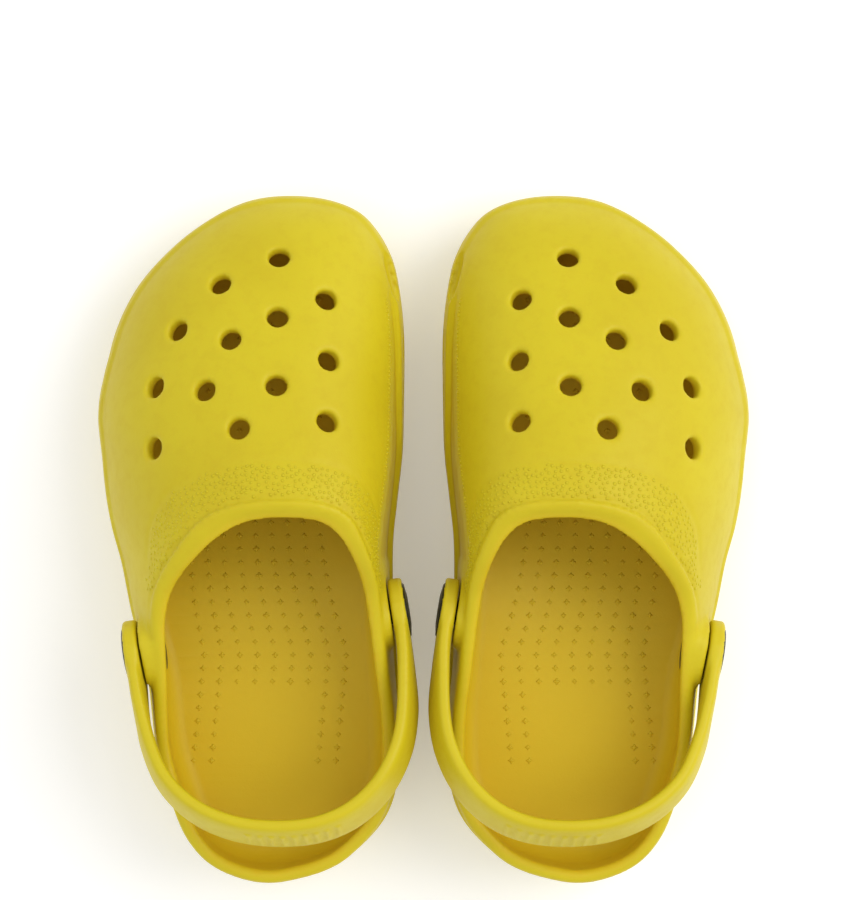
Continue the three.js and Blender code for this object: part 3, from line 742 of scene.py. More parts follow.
@dataclass
class StrapSculpt:
    """Carves one heel strap, in the left clog's millimetres."""

    pivot: Pivot
    heel: float = -100.0
    spacing: float = 0.5
    gap: float = 0.3
    tab_radius: float = 9.5
    thickness: float = 4.3
    width: float = 15.5
    inset: float = 17.0
    rise: float = math.radians(18.0)
    flare: float = 1.2
    squareness: float = 3.4
    bore_radius: float = 3.8
    sink_radius: float = 8.45
    sink_depth: float = 1.3
    sink_round: float = 0.4
    bore_round: float = 0.5
    tab_round: float = 1.1
    tab_fillet: float = 1.2
    ribs: int = 9
    rib_pitch: float = 3.2
    rib_height: float = 0.45
    line: Points = (
        (1, 0), (1, 0.14), (0.99, 0.28), (0.95, 0.5), (0.86, 0.68), (0.69, 0.84), (0.455, 0.952), (0.19, 1),
        (-0.12, 0.99), (-0.43, 0.932), (-0.7, 0.82), (-0.89, 0.66), (-0.98, 0.46), (-1, 0.28), (-1, 0.14),
        (-1, 0),
    )

    def build(self) -> Skin:
        """Returns the finished strap, marked with its creases."""
        points, quads = self.band()
        room = 4.0 + self.tab_radius
        self.space = DistanceField(points.min(axis=0) - room, points.max(axis=0) + room, self.spacing)
        solid = self.space.measure(points, quads, 16)
        solid = solid - self.rib_field()
        solid = self.tabs(solid)
        strap = self.space.skin(solid)
        strap.marks["crease"] = self.space.crease(solid, strap.points, 3)
        return strap

    def place(self, flat: np.ndarray) -> np.ndarray:
        """Moves points from the strap's own frame to their place on the clog."""
        c, s = math.cos(self.rise), math.sin(self.rise)
        x, y, z = flat.T
        turned = np.stack([x, y * c + z * s, -y * s + z * c], axis=-1)
        return self.pivot.middle + turned @ self.pivot.frame(1.0)

    def middle_line(self) -> np.ndarray:
        """Returns the strap's middle line in its own plane, evenly spaced."""
        half_span = self.pivot.seat + self.gap + self.thickness / 2
        reach = (self.pivot.middle[1] - self.heel - self.inset) / math.cos(self.rise)
        chain = smooth_chain([(a * half_span, -b * reach) for a, b in self.line], closed=False)
        run = np.concatenate([[0.0], np.cumsum(np.linalg.norm(np.diff(chain, axis=0), axis=1))])
        even = np.linspace(0.0, run[-1], 260)
        return np.stack([np.interp(even, run, chain[:, k]) for k in (0, 1)], axis=-1)

    def band(self, around: int = 44) -> tuple[np.ndarray, np.ndarray]:
        """Lofts the band's rounded section along its middle line, closed at both tabs."""
        line = self.middle_line()
        forwards = np.gradient(line, axis=0)
        forwards /= np.linalg.norm(forwards, axis=1)[:, None]
        outwards = np.stack([-forwards[:, 1], forwards[:, 0]], axis=-1)
        reach = -line[:, 1].min()
        back = smoothstep(-line[:, 1] / reach, 0.1, 0.5)[:, None]
        half_width = (2 * self.tab_radius - 1.0 + (self.width - 2 * self.tab_radius + 1.0) * back) / 2
        angle = np.linspace(0.0, 2 * math.pi, around, endpoint=False)[None, :]
        power = 2.0 / self.squareness
        t = np.sign(np.cos(angle)) * np.abs(np.cos(angle)) ** power * self.thickness / 2
        w = np.sign(np.sin(angle)) * np.abs(np.sin(angle)) ** power
        across = t - w * self.flare * back
        x = line[:, :1] + outwards[:, :1] * across
        y = line[:, 1:] + outwards[:, 1:] * across
        flat, quads = lofted(np.stack([x, y, w * half_width], axis=-1), turned=True)
        return self.place(flat), quads

    def tabs(self, solid: np.ndarray) -> np.ndarray:
        """Adds the round ends and bores them for the rivets."""
        s, p = self.space, self.pivot
        off = p.off(s.x, s.y, s.z)
        inside = p.seat + self.gap
        middle = inside + self.thickness / 2
        for side in (-1.0, 1.0):
            t = p.along(s.x, s.y, s.z, side)
            rim = np.maximum(off - self.tab_radius + self.tab_round, 0.0)
            face = np.maximum(np.abs(t - middle) - self.thickness / 2 + self.tab_round, 0.0)
            tab = np.sqrt(rim * rim + face * face) - self.tab_round
            solid = soft_min(solid, tab, self.tab_fillet)
            near = off < self.tab_radius + 2.0
            flush = np.maximum(inside - t, t - inside - self.thickness) - np.where(t > 0, 0.0, 1e3)
            solid = np.where(near, np.maximum(solid, flush), solid)
            bore = np.maximum(off - self.bore_radius, p.clear - t)
            sink = np.maximum(off - self.sink_radius, inside + self.thickness - self.sink_depth - t)
            solid = soft_max(soft_max(solid, -sink, self.sink_round), -bore, self.bore_round)
        return solid.astype(np.float32)

    def rib_field(self) -> np.ndarray:
        """Returns how far plain upright ribs stand out of the strap's outer face, behind the heel."""
        s = self.space
        local = [axis - c for axis, c in zip((s.x, s.y, s.z), self.pivot.middle)]
        rows = self.pivot.frame(1.0)
        x, ahead, up = (sum(row[k] * local[k] for k in range(3)) for row in rows)
        c, sn = math.cos(self.rise), math.sin(self.rise)
        y, z = ahead * c - up * sn, ahead * sn + up * c
        line = self.middle_line()
        back = line[line[:, 1] < 0.8 * line[:, 1].min()]
        order = np.argsort(back[:, 0])
        middle = np.interp(x, back[order, 0], back[order, 1])
        half = self.ribs * self.rib_pitch / 2
        wave = 0.5 + 0.5 * np.cos(2 * math.pi * x / self.rib_pitch)
        rib = smoothstep(wave, 0.35, 0.75) * (np.abs(x) < half) * (1.0 - smoothstep(np.abs(z), 3.6, 4.4))
        return (self.rib_height * rib * (y < middle)).astype(np.float32)


@dataclass
class SnapRivet:
    """A stud from outside and a socket from inside, turned about the pivot line, in millimetres."""

    pivot: Pivot
    wall: float = 4.2
    gap: float = 0.3
    tab: float = 4.3
    head_radius: float = 8.0
    head_height: float = 1.7
    head_sunk: float = 1.2
    journal_radius: float = 3.5
    pin_radius: float = 2.4
    collar_radius: float = 4.0
    flange_radius: float = 6.5
    flange_height: float = 1.8
    segments: int = 72

    def stud(self) -> Points:
        """Returns the stud's profile, as (radius, distance outwards from the pivot's middle)."""
        flange_face = self.pivot.seat - self.wall - self.gap
        under = self.pivot.seat + 2 * self.gap + self.tab - self.head_sunk
        top = under + self.head_height
        tip = flange_face - self.flange_height + 1.0 + self.gap
        shoulder = self.pivot.seat - self.gap
        r = self.head_radius
        return (
            (0, tip), (self.pin_radius - 0.5, tip), (self.pin_radius, tip + 0.6),
            (self.pin_radius, shoulder),
            (self.journal_radius, shoulder), (self.journal_radius, under), (r - 0.25, under),
            (r - 0.05, under + 0.1), (r, under + 0.3), (r - 0.04, under + 0.6), (r - 0.25, under + 0.95),
            (r - 0.7, under + 1.25),
            (r - 1.4, top - 0.45), (r - 2.05, top - 0.28), (r - 2.2, top - 0.32), (r - 2.3, top - 0.42),
            (r - 2.45, top - 0.42), (r - 2.55, top - 0.3), (r - 2.7, top - 0.19), (r - 3.6, top - 0.08),
            (r / 2, top - 0.03), (1.3, top), (1.15, top - 0.05), (1.0, top - 0.3), (0.7, top - 0.42),
            (0, top - 0.45),
        )

    def socket(self) -> Points:
        """Returns the socket's profile, as (radius, distance outwards from the pivot's middle)."""
        face = self.pivot.seat - self.wall - self.gap
        back = face - self.flange_height
        mouth = self.pivot.seat - 2 * self.gap
        hole = self.pin_radius + self.gap
        r = self.flange_radius
        return (
            (0, back + 0.35), (1.6, back + 0.35), (1.8, back + 0.25), (1.95, back + 0.05), (2.15, back),
            (r - 1.0, back), (r - 0.5, back + 0.12), (r - 0.15, back + 0.4), (r, back + 0.8),
            (r, face - 0.15), (r - 0.15, face), (self.collar_radius, face),
            (self.collar_radius, mouth - 0.3), (self.collar_radius - 0.3, mouth), (hole, mouth),
            (hole, back + 1.0), (0, back + 1.0),
        )

    def turned(self, profile: Points, side: float) -> Skin:
        """Turns a profile about the pivot line on one side, closing it with a point at either end."""
        turn = np.linspace(0.0, 2 * math.pi, self.segments, endpoint=False)
        body = np.asarray(profile[1:-1], dtype=float)
        along, radius = np.repeat(body[:, 1:], self.segments, axis=1), body[:, :1]
        rings = np.stack([along, radius * np.cos(turn), radius * np.sin(turn)], axis=-1).reshape(-1, 3)
        poles = np.array([[profile[0][1], 0.0, 0.0], [profile[-1][1], 0.0, 0.0]])
        points = self.pivot.middle + np.vstack([rings, poles]) @ self.pivot.frame(side)
        n, rows = self.segments, len(body)
        first, last, edge = rows * n, rows * n + 1, (rows - 1) * n
        pairs = [(j, (j + 1) % n) for j in range(n)]
        faces = [
            [row + j, row + k, row + n + k, row + n + j] for row in range(0, edge, n) for j, k in pairs]
        for j, k in pairs:
            faces += [[first, k, j], [last, edge + j, edge + k]]
        return Skin(points, faces)


# ---- Nodes as expressions ----------------------------------------------------


class Flow:
    """A number on its way through a node tree; sums and products on it add Math nodes."""

    def __init__(self, board: "Board", socket: bpy.types.NodeSocket) -> None:
        """Wraps an output socket of a board."""
        self.board = board
        self.socket = socket

    def math(self, operation: str, *values: "Flow | float", clamp: bool = False) -> "Flow":
        """Returns the result of a Math node on numbers or flows."""
        settings = {"operation": operation, "use_clamp": clamp}
        return self.board.node("ShaderNodeMath", settings, dict(enumerate(values)))

    def __add__(self, other: "Flow | float") -> "Flow":
        """Returns the sum."""
        return self.math("ADD", self, other)

    def __sub__(self, other: "Flow | float") -> "Flow":
        """Returns the difference."""
        return self.math("SUBTRACT", self, other)

    def __rsub__(self, other: float) -> "Flow":
        """Returns a number less this flow."""
        return self.math("SUBTRACT", other, self)

    def __mul__(self, other: "Flow | float") -> "Flow":
        """Returns the product."""
        return self.math("MULTIPLY", self, other)

    def __truediv__(self, other: "Flow | float") -> "Flow":
        """Returns the quotient."""
        return self.math("DIVIDE", self, other)

    __radd__ = __add__
    __rmul__ = __mul__

    def band(self, low: float, high: float) -> "Flow":
        """Returns a smooth step from 0 at one value to 1 at another."""
        return self.board.node("ShaderNodeMapRange", {"interpolation_type": "SMOOTHSTEP"},
                               {"Value": self, "From Min": low, "From Max": high})

    def tint(self, base: "Flow | tuple", other: "Flow | tuple") -> "Flow":
        """Mixes two colours by this flow."""
        colours = {0: self, 6: base, 7: other}
        return self.board.node("ShaderNodeMix", {"data_type": "RGBA"}, colours, output=2)


class Board:
    """Lays nodes into a tree, for shaders and for geometry alike."""

    def __init__(self, tree: bpy.types.NodeTree) -> None:
        """Starts on an emptied tree."""
        tree.nodes.clear()
        self.tree = tree

    def node(self, kind: str, settings: Optional[dict] = None, inputs: Optional[dict] = None,
             output: "int | str" = 0) -> Flow:
        """Adds a node.

        Args:
            kind: The node's type.
            settings: Its own settings, set before its sockets.
            inputs: Values or flows for its sockets, by name or by place.
            output: Which of its outputs is wanted.

        Returns:
            That output; the node's others are reached through it with other().
        """
        node = self.tree.nodes.new(kind)
        for key, value in (settings or {}).items():
            setattr(node, key, value)
        for key, value in (inputs or {}).items():
            if isinstance(value, Flow):
                self.tree.links.new(value.socket, node.inputs[key])
            else:
                colour = isinstance(value, tuple) and len(value) == 3 and node.inputs[key].type == "RGBA"
                node.inputs[key].default_value = (*value, 1.0) if colour else value
        return Flow(self, node.outputs[output] if len(node.outputs) else None)

    def other(self, flow: Flow, output: "int | str") -> Flow:
        """Returns another output of the node that a flow comes from."""
        return Flow(self, flow.socket.node.outputs[output])

    def noise(self, place: Flow, scale: float, detail: float = 2.0, roughness: float = 0.5) -> Flow:
        """Returns a noise value, from 0 to 1, over a place."""
        return self.node("ShaderNodeTexNoise", None,
                         {"Vector": place, "Scale": scale, "Detail": detail, "Roughness": roughness})


# ---- Finishes ----------------------------------------------------------------


@dataclass(frozen=True)
class Finish:
    """A named material."""

    name: str

    def make(self) -> bpy.types.Material:
        """Returns the material."""
        material = bpy.data.materials.new(self.name)
        material.use_nodes = True
        board = Board(material.node_tree)
        board.node("ShaderNodeOutputMaterial", None, {"Surface": self.shade(board)})
        return material

    def shade(self, board: Board) -> Flow:
        """Lays out the shader, and returns it."""
        raise NotImplementedError


@dataclass(frozen=True)
class FoamFinish(Finish):
    """Satin moulded foam, mottled and finely pebbled, its edges rubbed, with painted shade in creases and
    inside.
    """

    name: str = "satin yellow foam"
    body: tuple[float, float, float] = (0.61, 0.485, 0.009)
    pale: tuple[float, float, float] = (0.65, 0.53, 0.012)
    # Darker hue: the random speckle, and the painted shade in creases and hollows.
    speckle_and_shade_hue: tuple[float, float, float] = (0.53, 0.36, 0.009)
    # Warmer hue painted inside the cavity for the shade and bounce light there.
    cavity_shade_hue: tuple[float, float, float] = (0.7, 0.49, 0.014)
    speckled: float = 0.16
    cavity_shade_share: float = 0.9
    # How far painted shade deepens the hue in creases and hollows.
    crease_shade: float = 0.75
    rubbing: float = 0.45
    roughness: float = 0.5
    cloud_scale: float = 22.0
    mottle_scale: float = 260.0
    swell_scale: float = 190.0
    cell_scale: float = 1150.0
    grain_scale: float = 1500.0
    grain_depth: float = 0.00006

    def shade(self, board: Board) -> Flow:
        """Lays out the shader, and returns it."""
        place = board.node("ShaderNodeTexCoord", output="Object")
        broad = board.noise(place, self.cloud_scale, 2.0)
        mottle = board.noise(place, self.mottle_scale, 3.0, 0.6)
        crease = board.node("ShaderNodeAttribute", {"attribute_name": "crease"}, output="Fac")
        hollow = (crease * -1.0).band(0.12, 0.75)
        rubbed = crease.band(0.35, 0.9) * mottle.band(0.3, 0.6)
        colour = broad.band(0.35, 0.68).tint(self.body, self.pale)
        colour = (mottle.band(0.42, 0.72) * self.speckled).tint(colour, self.speckle_and_shade_hue)
        inside = board.node("ShaderNodeAttribute", {"attribute_name": "inside"}, output="Fac")
        # Painted shade and bounce light: points deep in the cavity take the warmer hue.
        colour = (inside * self.cavity_shade_share).tint(colour, self.cavity_shade_hue)
        # Painted shade: creases and hollows, the sunk panel among them, take the darker hue.
        colour = (hollow * self.crease_shade).tint(colour, self.speckle_and_shade_hue)
        colour = (rubbed * self.rubbing).tint(colour, self.pale)
        rough = self.roughness + (mottle - 0.5) * 0.16 + hollow * 0.12 - rubbed * 0.1
        pebble = board.noise(place, self.grain_scale, 2.0, 0.55)
        cells = board.node("ShaderNodeTexVoronoi", {"feature": "F1"}, {
            "Vector": place, "Scale": self.cell_scale})
        pits = cells.band(0.05, 0.42)
        swell = board.noise(place, self.swell_scale, 1.0)
        height = pebble * 0.6 + pits * 0.4 + swell * 1.4
        bump = board.node("ShaderNodeBump", None, {
            "Strength": 0.55, "Distance": self.grain_depth, "Height": height})
        return board.node("ShaderNodeBsdfPrincipled", None, {
            "Base Color": colour, "Roughness": rough, "Normal": bump, "Subsurface Weight": 0.12,
            "Subsurface Radius": (1.0, 0.62, 0.12), "Subsurface Scale": 0.0025, "Specular IOR Level": 0.26,
        })


@dataclass(frozen=True)
class RivetFinish(Finish):
    """Black plastic with a faint olive cast, spark-textured by its mould and lightly scuffed."""

    name: str = "satin black plastic"
    body: tuple[float, float, float] = (0.021, 0.021, 0.012)
    scuffed: tuple[float, float, float] = (0.06, 0.058, 0.036)
    roughness: float = 0.36

    def shade(self, board: Board) -> Flow:
        """Lays out the shader, and returns it."""
        place = board.node("ShaderNodeTexCoord", output="Object")
        cloud = board.noise(place, 420.0, 3.0, 0.6)
        spark = board.noise(place, 5200.0, 2.0)
        scuff = cloud.band(0.56, 0.74)
        colour = (scuff * 0.5).tint(self.body, self.scuffed)
        rough = self.roughness + scuff * 0.18 + (spark - 0.5) * 0.1
        bump = board.node("ShaderNodeBump", None, {"Strength": 0.4, "Distance": 0.00002, "Height": spark})
        return board.node("ShaderNodeBsdfPrincipled", None, {
            "Base Color": colour, "Roughness": rough, "Normal": bump, "Specular IOR Level": 0.5})


@dataclass(frozen=True)
class StageFinish(Finish):
    """A plain pale sheet to stand the clogs on."""

    name: str = "pale floor"
    colour: tuple[float, float, float] = (0.93, 0.93, 0.93)
    glow: float = 0.2

    def shade(self, board: Board) -> Flow:
        """Lays out the shader, and returns it."""
        return board.node("ShaderNodeBsdfPrincipled", None, {
            "Base Color": (*self.colour, 1.0), "Roughness": 0.8, "Specular IOR Level": 0.1,
            "Emission Color": (1.0, 1.0, 1.0, 1.0), "Emission Strength": self.glow})


# ---- Moulded details ---------------------------------------------------------


class Detail(Enum):
    """The shapes of raised detail that the mould leaves."""

    DOT = "dot"
    CROSS = "cross"


@dataclass
class DetailTree:
    """Geometry Nodes that stand small raised details on a shell's surface."""

    name: str
    shape: Detail
    material: bpy.types.Material
    sides: int = 7

    def open_tree(self, **sockets: str) -> tuple[Board, Flow, dict[str, str]]:
        """Starts a tree with its named inputs, besides the width, height and seed that each has.

        Args:
            sockets: The kind of socket of each other input, by name.

        Returns:
            The board, the tree's inputs, and each input's identifier by name.
        """
        tree = bpy.data.node_groups.new(self.name, "GeometryNodeTree")
        tree.interface.new_socket("Geometry", in_out="INPUT", socket_type="NodeSocketGeometry")
        tree.interface.new_socket("Geometry", in_out="OUTPUT", socket_type="NodeSocketGeometry")
        names = {}
        for label, kind in {**sockets, "Width": "Float", "Height": "Float", "Seed": "Int"}.items():
            item = tree.interface.new_socket(label, in_out="INPUT", socket_type="NodeSocket" + kind)
            names[label] = item.identifier
        board = Board(tree)
        return board, board.node("NodeGroupInput"), names

    def bead(self, board: Board, given: Flow) -> Flow:
        """Returns one detail: a low dome, or two long domes across each other."""
        ball = board.node("GeometryNodeMeshUVSphere", None, {
            "Segments": self.sides, "Rings": 4, "Radius": 0.5})
        wide, high = board.other(given, "Width"), board.other(given, "Height")
        slim = wide * (1.0 if self.shape is Detail.DOT else 0.42)
        long_way = board.node("ShaderNodeCombineXYZ", None, {"X": wide, "Y": slim, "Z": high * 2.0})
        bead = board.node("GeometryNodeTransform", None, {"Geometry": ball, "Scale": long_way})
        if self.shape is Detail.DOT:
            return bead
        cross_way = board.node("ShaderNodeCombineXYZ", None, {"X": slim, "Y": wide, "Z": high * 2.0})
        other = board.node("GeometryNodeTransform", None, {"Geometry": ball, "Scale": cross_way})
        join = board.node("GeometryNodeJoinGeometry", None, {"Geometry": bead})
        board.tree.links.new(other.socket, join.socket.node.inputs["Geometry"])
        return join

    def finish(self, board: Board, points: Flow, turn: Flow, given: Flow) -> None:
        """Stands a detail on each point, makes the lot real and gives it its material."""
        size = board.node("FunctionNodeRandomValue", {"data_type": "FLOAT"}, {
            2: 0.82, 3: 1.12, "Seed": board.other(given, "Seed")}, output=1)
        placed = board.node("GeometryNodeInstanceOnPoints", None, {
            "Points": points, "Instance": self.bead(board, given), "Rotation": turn, "Scale": size})
        real = board.node("GeometryNodeRealizeInstances", None, {"Geometry": placed})
        smooth = board.node("GeometryNodeSetShadeSmooth", None, {"Geometry": real})
        dressed = board.node("GeometryNodeSetMaterial", None, {
            "Geometry": smooth, "Material": self.material})
        board.node("NodeGroupOutput", None, {"Geometry": dressed})

    def scattered(self) -> tuple[bpy.types.NodeTree, dict[str, str]]:
        """Builds a tree that scatters details evenly over the marked part of a surface."""
        board, given, names = self.open_tree(Pitch="Float")
        mark = board.node("GeometryNodeInputNamedAttribute", {"data_type": "FLOAT"}, {"Name": "grain"})
        points = board.node("GeometryNodeDistributePointsOnFaces", {"distribute_method": "POISSON"}, {
            "Mesh": given, "Distance Min": board.other(given, "Pitch"), "Density Max": 4.0e6,
            "Density Factor": mark, "Seed": board.other(given, "Seed")})
        self.finish(board, points, board.other(points, "Rotation"), given)
        return board.tree, names

    def projected(self) -> tuple[bpy.types.NodeTree, dict[str, str]]:
        """Builds a tree that drops points on to a shell, and keeps those that land where it faces up."""
        board, given, names = self.open_tree(Shell="Object", Facing="Float")
        shell = board.node("GeometryNodeObjectInfo", {"transform_space": "ORIGINAL"}, {
            "Object": board.other(given, "Shell")}, output="Geometry")
        hit = board.node("GeometryNodeRaycast", {"data_type": "FLOAT"}, {
            "Target Geometry": shell, "Ray Direction": (0.0, 0.0, -1.0), "Ray Length": 0.1,
        }, output="Is Hit")
        normal = board.other(hit, "Hit Normal")
        upwards = board.node("ShaderNodeVectorMath", {"operation": "DOT_PRODUCT"}, {
            0: normal, 1: (0.0, 0.0, 1.0)}, output="Value")
        lands = upwards.math("GREATER_THAN", upwards, board.other(given, "Facing"))
        kept = board.node("FunctionNodeBooleanMath", {"operation": "AND"}, {0: hit, 1: lands})
        missed = board.node("FunctionNodeBooleanMath", {"operation": "NOT"}, {0: kept})
        up = board.node("FunctionNodeAlignRotationToVector", {"axis": "Z"}, {"Vector": normal})
        landed = given
        position = board.other(hit, "Hit Position")
        for name, kind, value in (("stand", "QUATERNION", up), ("spot", "FLOAT_VECTOR", position)):
            landed = board.node("GeometryNodeStoreNamedAttribute", {"data_type": kind, "domain": "POINT"}, {
                "Geometry": landed, "Name": name, "Value": value})
        landed = board.node("GeometryNodeDeleteGeometry", {"domain": "POINT"}, {
            "Geometry": landed, "Selection": missed})
        spot, stand = (
            board.node("GeometryNodeInputNamedAttribute", {"data_type": kind}, {"Name": name})
            for name, kind in (("spot", "FLOAT_VECTOR"), ("stand", "QUATERNION")))
        moved = board.node("GeometryNodeSetPosition", None, {"Geometry": landed, "Position": spot})
        self.finish(board, moved, stand, given)
        return board.tree, names


# ---- Pieces ------------------------------------------------------------------


@dataclass
class Workshop:
    """Turns skins into Blender pieces for either foot, each with its finish and its body."""

    offset: float
    foam: bpy.types.Material
    plastic: bpy.types.Material

    def points(self, points: np.ndarray, foot: Foot) -> np.ndarray:
        """Returns a clog's own millimetres as metres in the CAD frame."""
        moved = points + np.array([self.offset, 0.0, 0.0])
        return moved * np.array([foot.hand, 1.0, 1.0]) * MM

    def piece(self, name: str, skin: Skin, foot: Foot, material: bpy.types.Material,
              recalculate: bool = False) -> bpy.types.Object:
        """Makes a mesh object from a skin.

        Args:
            name: The piece's name, without its foot.
            skin: The surface, drawn as the left clog's.
            foot: Which clog it belongs to.
            material: Its finish.
            recalculate: Whether its faces still have to be turned outwards.

        Returns:
            The object, at the origin, with its place in its mesh.
        """
        faces = skin.faces if foot is Foot.LEFT else [face[::-1] for face in skin.faces]
        mesh = bpy.data.meshes.new(f"{foot.value}_{name}")
        mesh.from_pydata(self.points(skin.points, foot).tolist(), [], faces)
        for mark, values in skin.marks.items():
            mesh.attributes.new(mark, "FLOAT", "POINT").data.foreach_set("value", values.astype(np.float32))
        if recalculate:
            shape = bmesh.new()
            shape.from_mesh(mesh)
            bmesh.ops.recalc_face_normals(shape, faces=shape.faces)
            shape.to_mesh(mesh)
            shape.free()
        mesh.shade_smooth()
        mesh.materials.append(material)
        mesh.update()
        return in_scene(mesh.name, mesh)

    def grown(self, name: str, base: bpy.types.Object, tree: tuple[bpy.types.NodeTree, dict[str, str]],
              detail: "GrainedBand | FootbedNubs | BandBeads", inside: float = 0.0,
              **others: object) -> bpy.types.Object:
        """Runs a tree on an object and keeps the result as a plain piece.

        Args:
            name: The new piece's name.
            base: The object whose mesh the tree starts from.
            tree: The node tree, with the identifier of each of its inputs.
            detail: What gives each detail's width and height, and the seed.
            inside: How far its foam takes the warmer hue painted inside the cavity for shade and bounce
                light.
            others: A value for each other input, by name.

        Returns:
            The new piece; the modifier is taken off again.
        """
        group, names = tree
        modifier = base.modifiers.new("details", "NODES")
        modifier.node_group = group
        sizes = {"Width": detail.width * MM, "Height": detail.height * MM, "Seed": detail.seed}
        for label, value in {**others, **sizes}.items():
            modifier[names[label]] = value
        base.update_tag()
        bpy.context.view_layer.update()
        evaluated = base.evaluated_get(bpy.context.evaluated_depsgraph_get())
        mesh = bpy.data.meshes.new_from_object(evaluated)
        base.modifiers.remove(modifier)
        mesh.name = name
        for used in ("stand", "spot", "grain", "crease", "inside"):
            if used in mesh.attributes:
                mesh.attributes.remove(mesh.attributes[used])
        # Painted shade: how far these details take the cavity's warmer hue.
        hue = np.full(len(mesh.vertices), inside, dtype=np.float32)
        mesh.attributes.new("inside", "FLOAT", "POINT").data.foreach_set("value", hue)
        return in_scene(name, mesh)

    def hand_over(self, piece: bpy.types.Object, body: str, slot: str, *nodes: str) -> None:
        """Rides a piece on its body and hides the CAD nodes that it stands for."""
        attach(piece, body)
        if nodes:
            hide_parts(*nodes)
        triangles = sum(len(face.vertices) - 2 for face in piece.data.polygons)
        LOG.info("%s: %d triangles, on %s", piece.name, triangles, body)


@dataclass
class GrainedBand:
    """The small domes that roughen the upper in front of its collar."""

    pitch: float = 1.25
    width: float = 1.0
    height: float = 0.17
    seed: int = 11


@dataclass
class FootbedNubs:
    """The massaging crosses that stand on the footbed in bowed columns."""

    form: ClogForm
    column_pitch: float = 4.9
    row_pitch: float = 3.9
    columns: int = 9
    rows: tuple[float, float] = (0.13, 0.86)
    outer_start: float = 0.15
    inner_start: float = 0.27
    bend_start: float = 0.54
    drift: float = 0.0036
    bend_length: float = 42.0
    straighten: float = 0.1
    fan: float = 0.0026
    width: float = 1.9
    height: float = 0.28
    facing: float = 0.9
    seed: int = 5

    def starts(self) -> np.ndarray:
        """Returns points above the footbed, one over each nub."""
        rows = np.arange(*map(self.form.at, self.rows), self.row_pitch)
        spots = []
        for k in range(self.columns):
            heel_end = self.form.at(self.inner_start if 1 < k < self.columns - 2 else self.outer_start)
            for y in rows[rows >= heel_end]:
                back = max(0.0, self.form.at(self.bend_start) - y)
                bend = min(back, self.bend_length)
                middle = 0.5 + self.drift * bend ** 2 - self.straighten * (back - bend)
                spread = 0.96 + self.fan * bend
                x = middle + (k - (self.columns - 1) / 2) * self.column_pitch * spread
                above = self.form.footbed_heel + 9.0 if y < 0 else self.form.footbed_forefoot + 12.0
                spots.append((x, y, above))
        return np.asarray(spots)


@dataclass
class BandBeads:
    """The row of tiny beads along the top edge of the big-toe side's panel."""

    form: ClogForm
    pitch: float = 1.25
    width: float = 0.8
    height: float = 0.3
    facing: float = 0.1
    seed: int = 7
    inset: float = 3.8
    ends: tuple[float, float] = (0.46, 0.85)

    def starts(self) -> np.ndarray:
        """Returns points straight above the beads, a little way in from the outline."""
        y = np.arange(*map(self.form.at, self.ends), self.pitch)
        return np.stack([self.form.medial(y) - self.inset, y, np.full(len(y), self.form.height)], axis=-1)


# ---- Studio ------------------------------------------------------------------


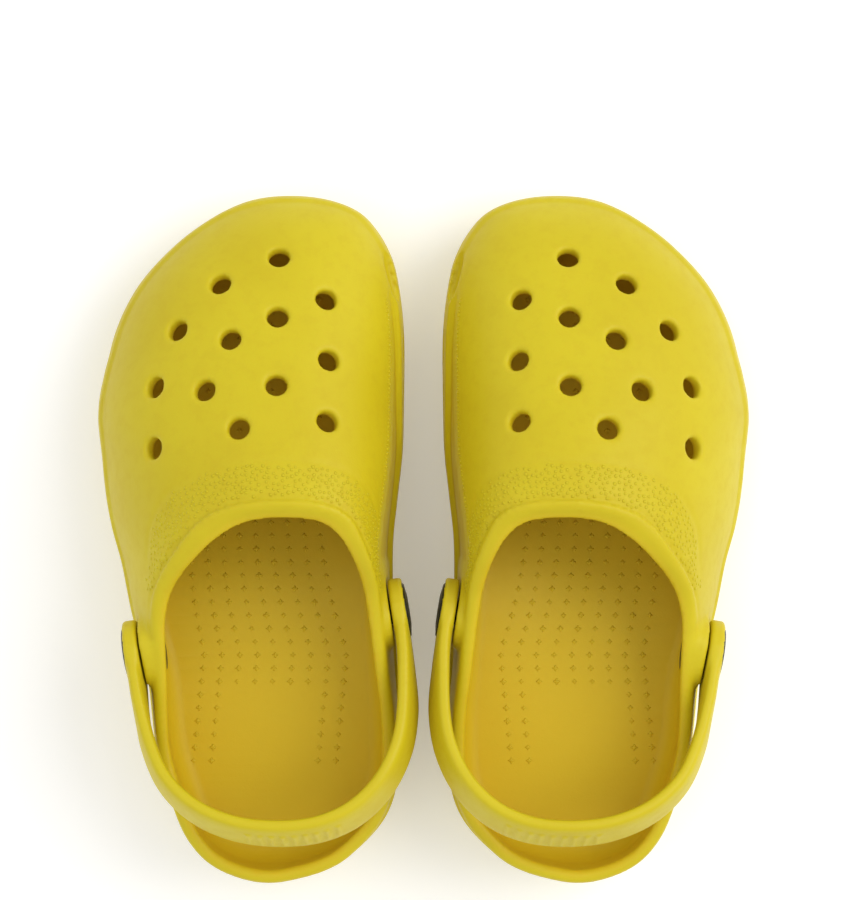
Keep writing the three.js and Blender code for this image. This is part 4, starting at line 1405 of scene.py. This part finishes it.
@dataclass
class Studio:
    """A pale floor, soft light from the right and above, and a camera straight over the pair."""

    camera_height: float = 0.8
    camera_ahead: float = 0.0255
    lens: float = 105.6
    key: float = 6.5
    key_size: float = 0.8
    key_place: tuple[float, float, float] = (0.75, 0.25, 0.95)
    fill: float = 2.0
    fill_size: float = 1.2
    fill_place: tuple[float, float, float] = (-0.6, 0.2, 1.3)
    surround: float = 0.72
    floor: float = 3.0

    def set_up(self) -> None:
        """Builds the floor, the lights, the world and the camera."""
        side = self.floor
        floor = bpy.data.meshes.new("floor")
        corners = [(-side, -side, 0.0), (side, -side, 0.0), (side, side, 0.0), (-side, side, 0.0)]
        floor.from_pydata(corners, [], [(0, 1, 2, 3)])
        floor.materials.append(StageFinish().make())
        sheet = in_scene("floor", floor)
        self.lamp("key", self.key_place, self.key_size, self.key)
        self.lamp("fill", self.fill_place, self.fill_size, self.fill)
        world = bpy.data.worlds.new("studio")
        world.use_nodes = True
        board = Board(world.node_tree)
        glow = board.node("ShaderNodeBackground", None, {
            "Color": (1.0, 1.0, 1.0, 1.0), "Strength": self.surround})
        board.node("ShaderNodeOutputWorld", None, {"Surface": glow})
        bpy.context.scene.world = world
        bpy.context.scene.view_settings.view_transform = "Standard"
        data = bpy.data.cameras.new("camera")
        data.lens = self.lens
        data.sensor_width = 36.0
        data.clip_start = 0.02
        camera = in_scene("camera", data)
        camera.location = (0.0, self.camera_ahead, self.camera_height)
        bpy.context.scene.camera = camera

    def lamp(self, name: str, place: tuple[float, float, float], size: float, power: float) -> None:
        """Hangs a square soft light that faces the clogs."""
        data = bpy.data.lights.new(name, "AREA")
        data.size = size
        data.energy = power
        lamp = in_scene(name, data)
        lamp.location = place
        lamp.rotation_euler = (-Vector(place)).to_track_quat("-Z", "Y").to_euler()


def main() -> None:
    """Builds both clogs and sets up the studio."""
    logging.basicConfig(level=logging.INFO, format="%(name)s: %(message)s")
    Studio().set_up()
    form = ClogForm()
    pivot = form.pivot()
    swing = next(joint for joint in frame["joints"] if joint["name"] == "left_strap_swing")
    shop = Workshop(swing["pos_m"][0] / MM - pivot.middle[0], FoamFinish().make(), RivetFinish().make())
    sculpt = ShellSculpt(form, pivot)
    shell, strap = sculpt.build(), StrapSculpt(pivot).build()
    rivet = SnapRivet(pivot)
    grain = DetailTree("grained band", Detail.DOT, shop.foam).scattered()
    crosses = DetailTree("footbed crosses", Detail.CROSS, shop.foam).projected()
    beads = DetailTree("beaded edge", Detail.DOT, shop.foam).projected()
    fine, nubs, row = GrainedBand(), FootbedNubs(form), BandBeads(form)
    for foot in Foot:
        side = foot.value
        body, strap_body = f"{side}_clog", f"{side}_strap"
        upper = shop.piece("foam_shell", shell, foot, shop.foam)
        details = [shop.grown(f"{side}_grained_band", upper, grain, fine, Pitch=fine.pitch * MM)]
        # The footbed nubs, inside the cavity, take its painted shade hue in full; the beads outside take
        # none.
        dropped = (("footbed_nubs", nubs, crosses, 1.0), ("beaded_edge", row, beads, 0.0))
        for name, detail, tree, inside in dropped:
            starts = shop.piece(f"{name}_starts", Skin(detail.starts(), []), foot, shop.foam)
            details.append(shop.grown(
                f"{side}_{name}", starts, tree, detail, inside, Shell=upper, Facing=detail.facing))
            bpy.data.objects.remove(starts)
        shop.hand_over(upper, body, "foam", f"{side}_clog_shell")
        for detail in details:
            shop.hand_over(detail, body, "foam")
        band = shop.piece("foam_strap", strap, foot, shop.foam)
        shop.hand_over(band, strap_body, "foam", f"{side}_heel_strap")
        for place, way in (("outer", -1.0), ("inner", 1.0)):
            for part, profile in (("stud", rivet.stud()), ("socket", rivet.socket())):
                turned = rivet.turned(profile, way)
                piece = shop.piece(f"{place}_snap_{part}", turned, foot, shop.plastic, recalculate=True)
                shop.hand_over(piece, body, "rivet", f"{side}_{place}_rivet_{part}")


if __name__ == "__main__":
    main()
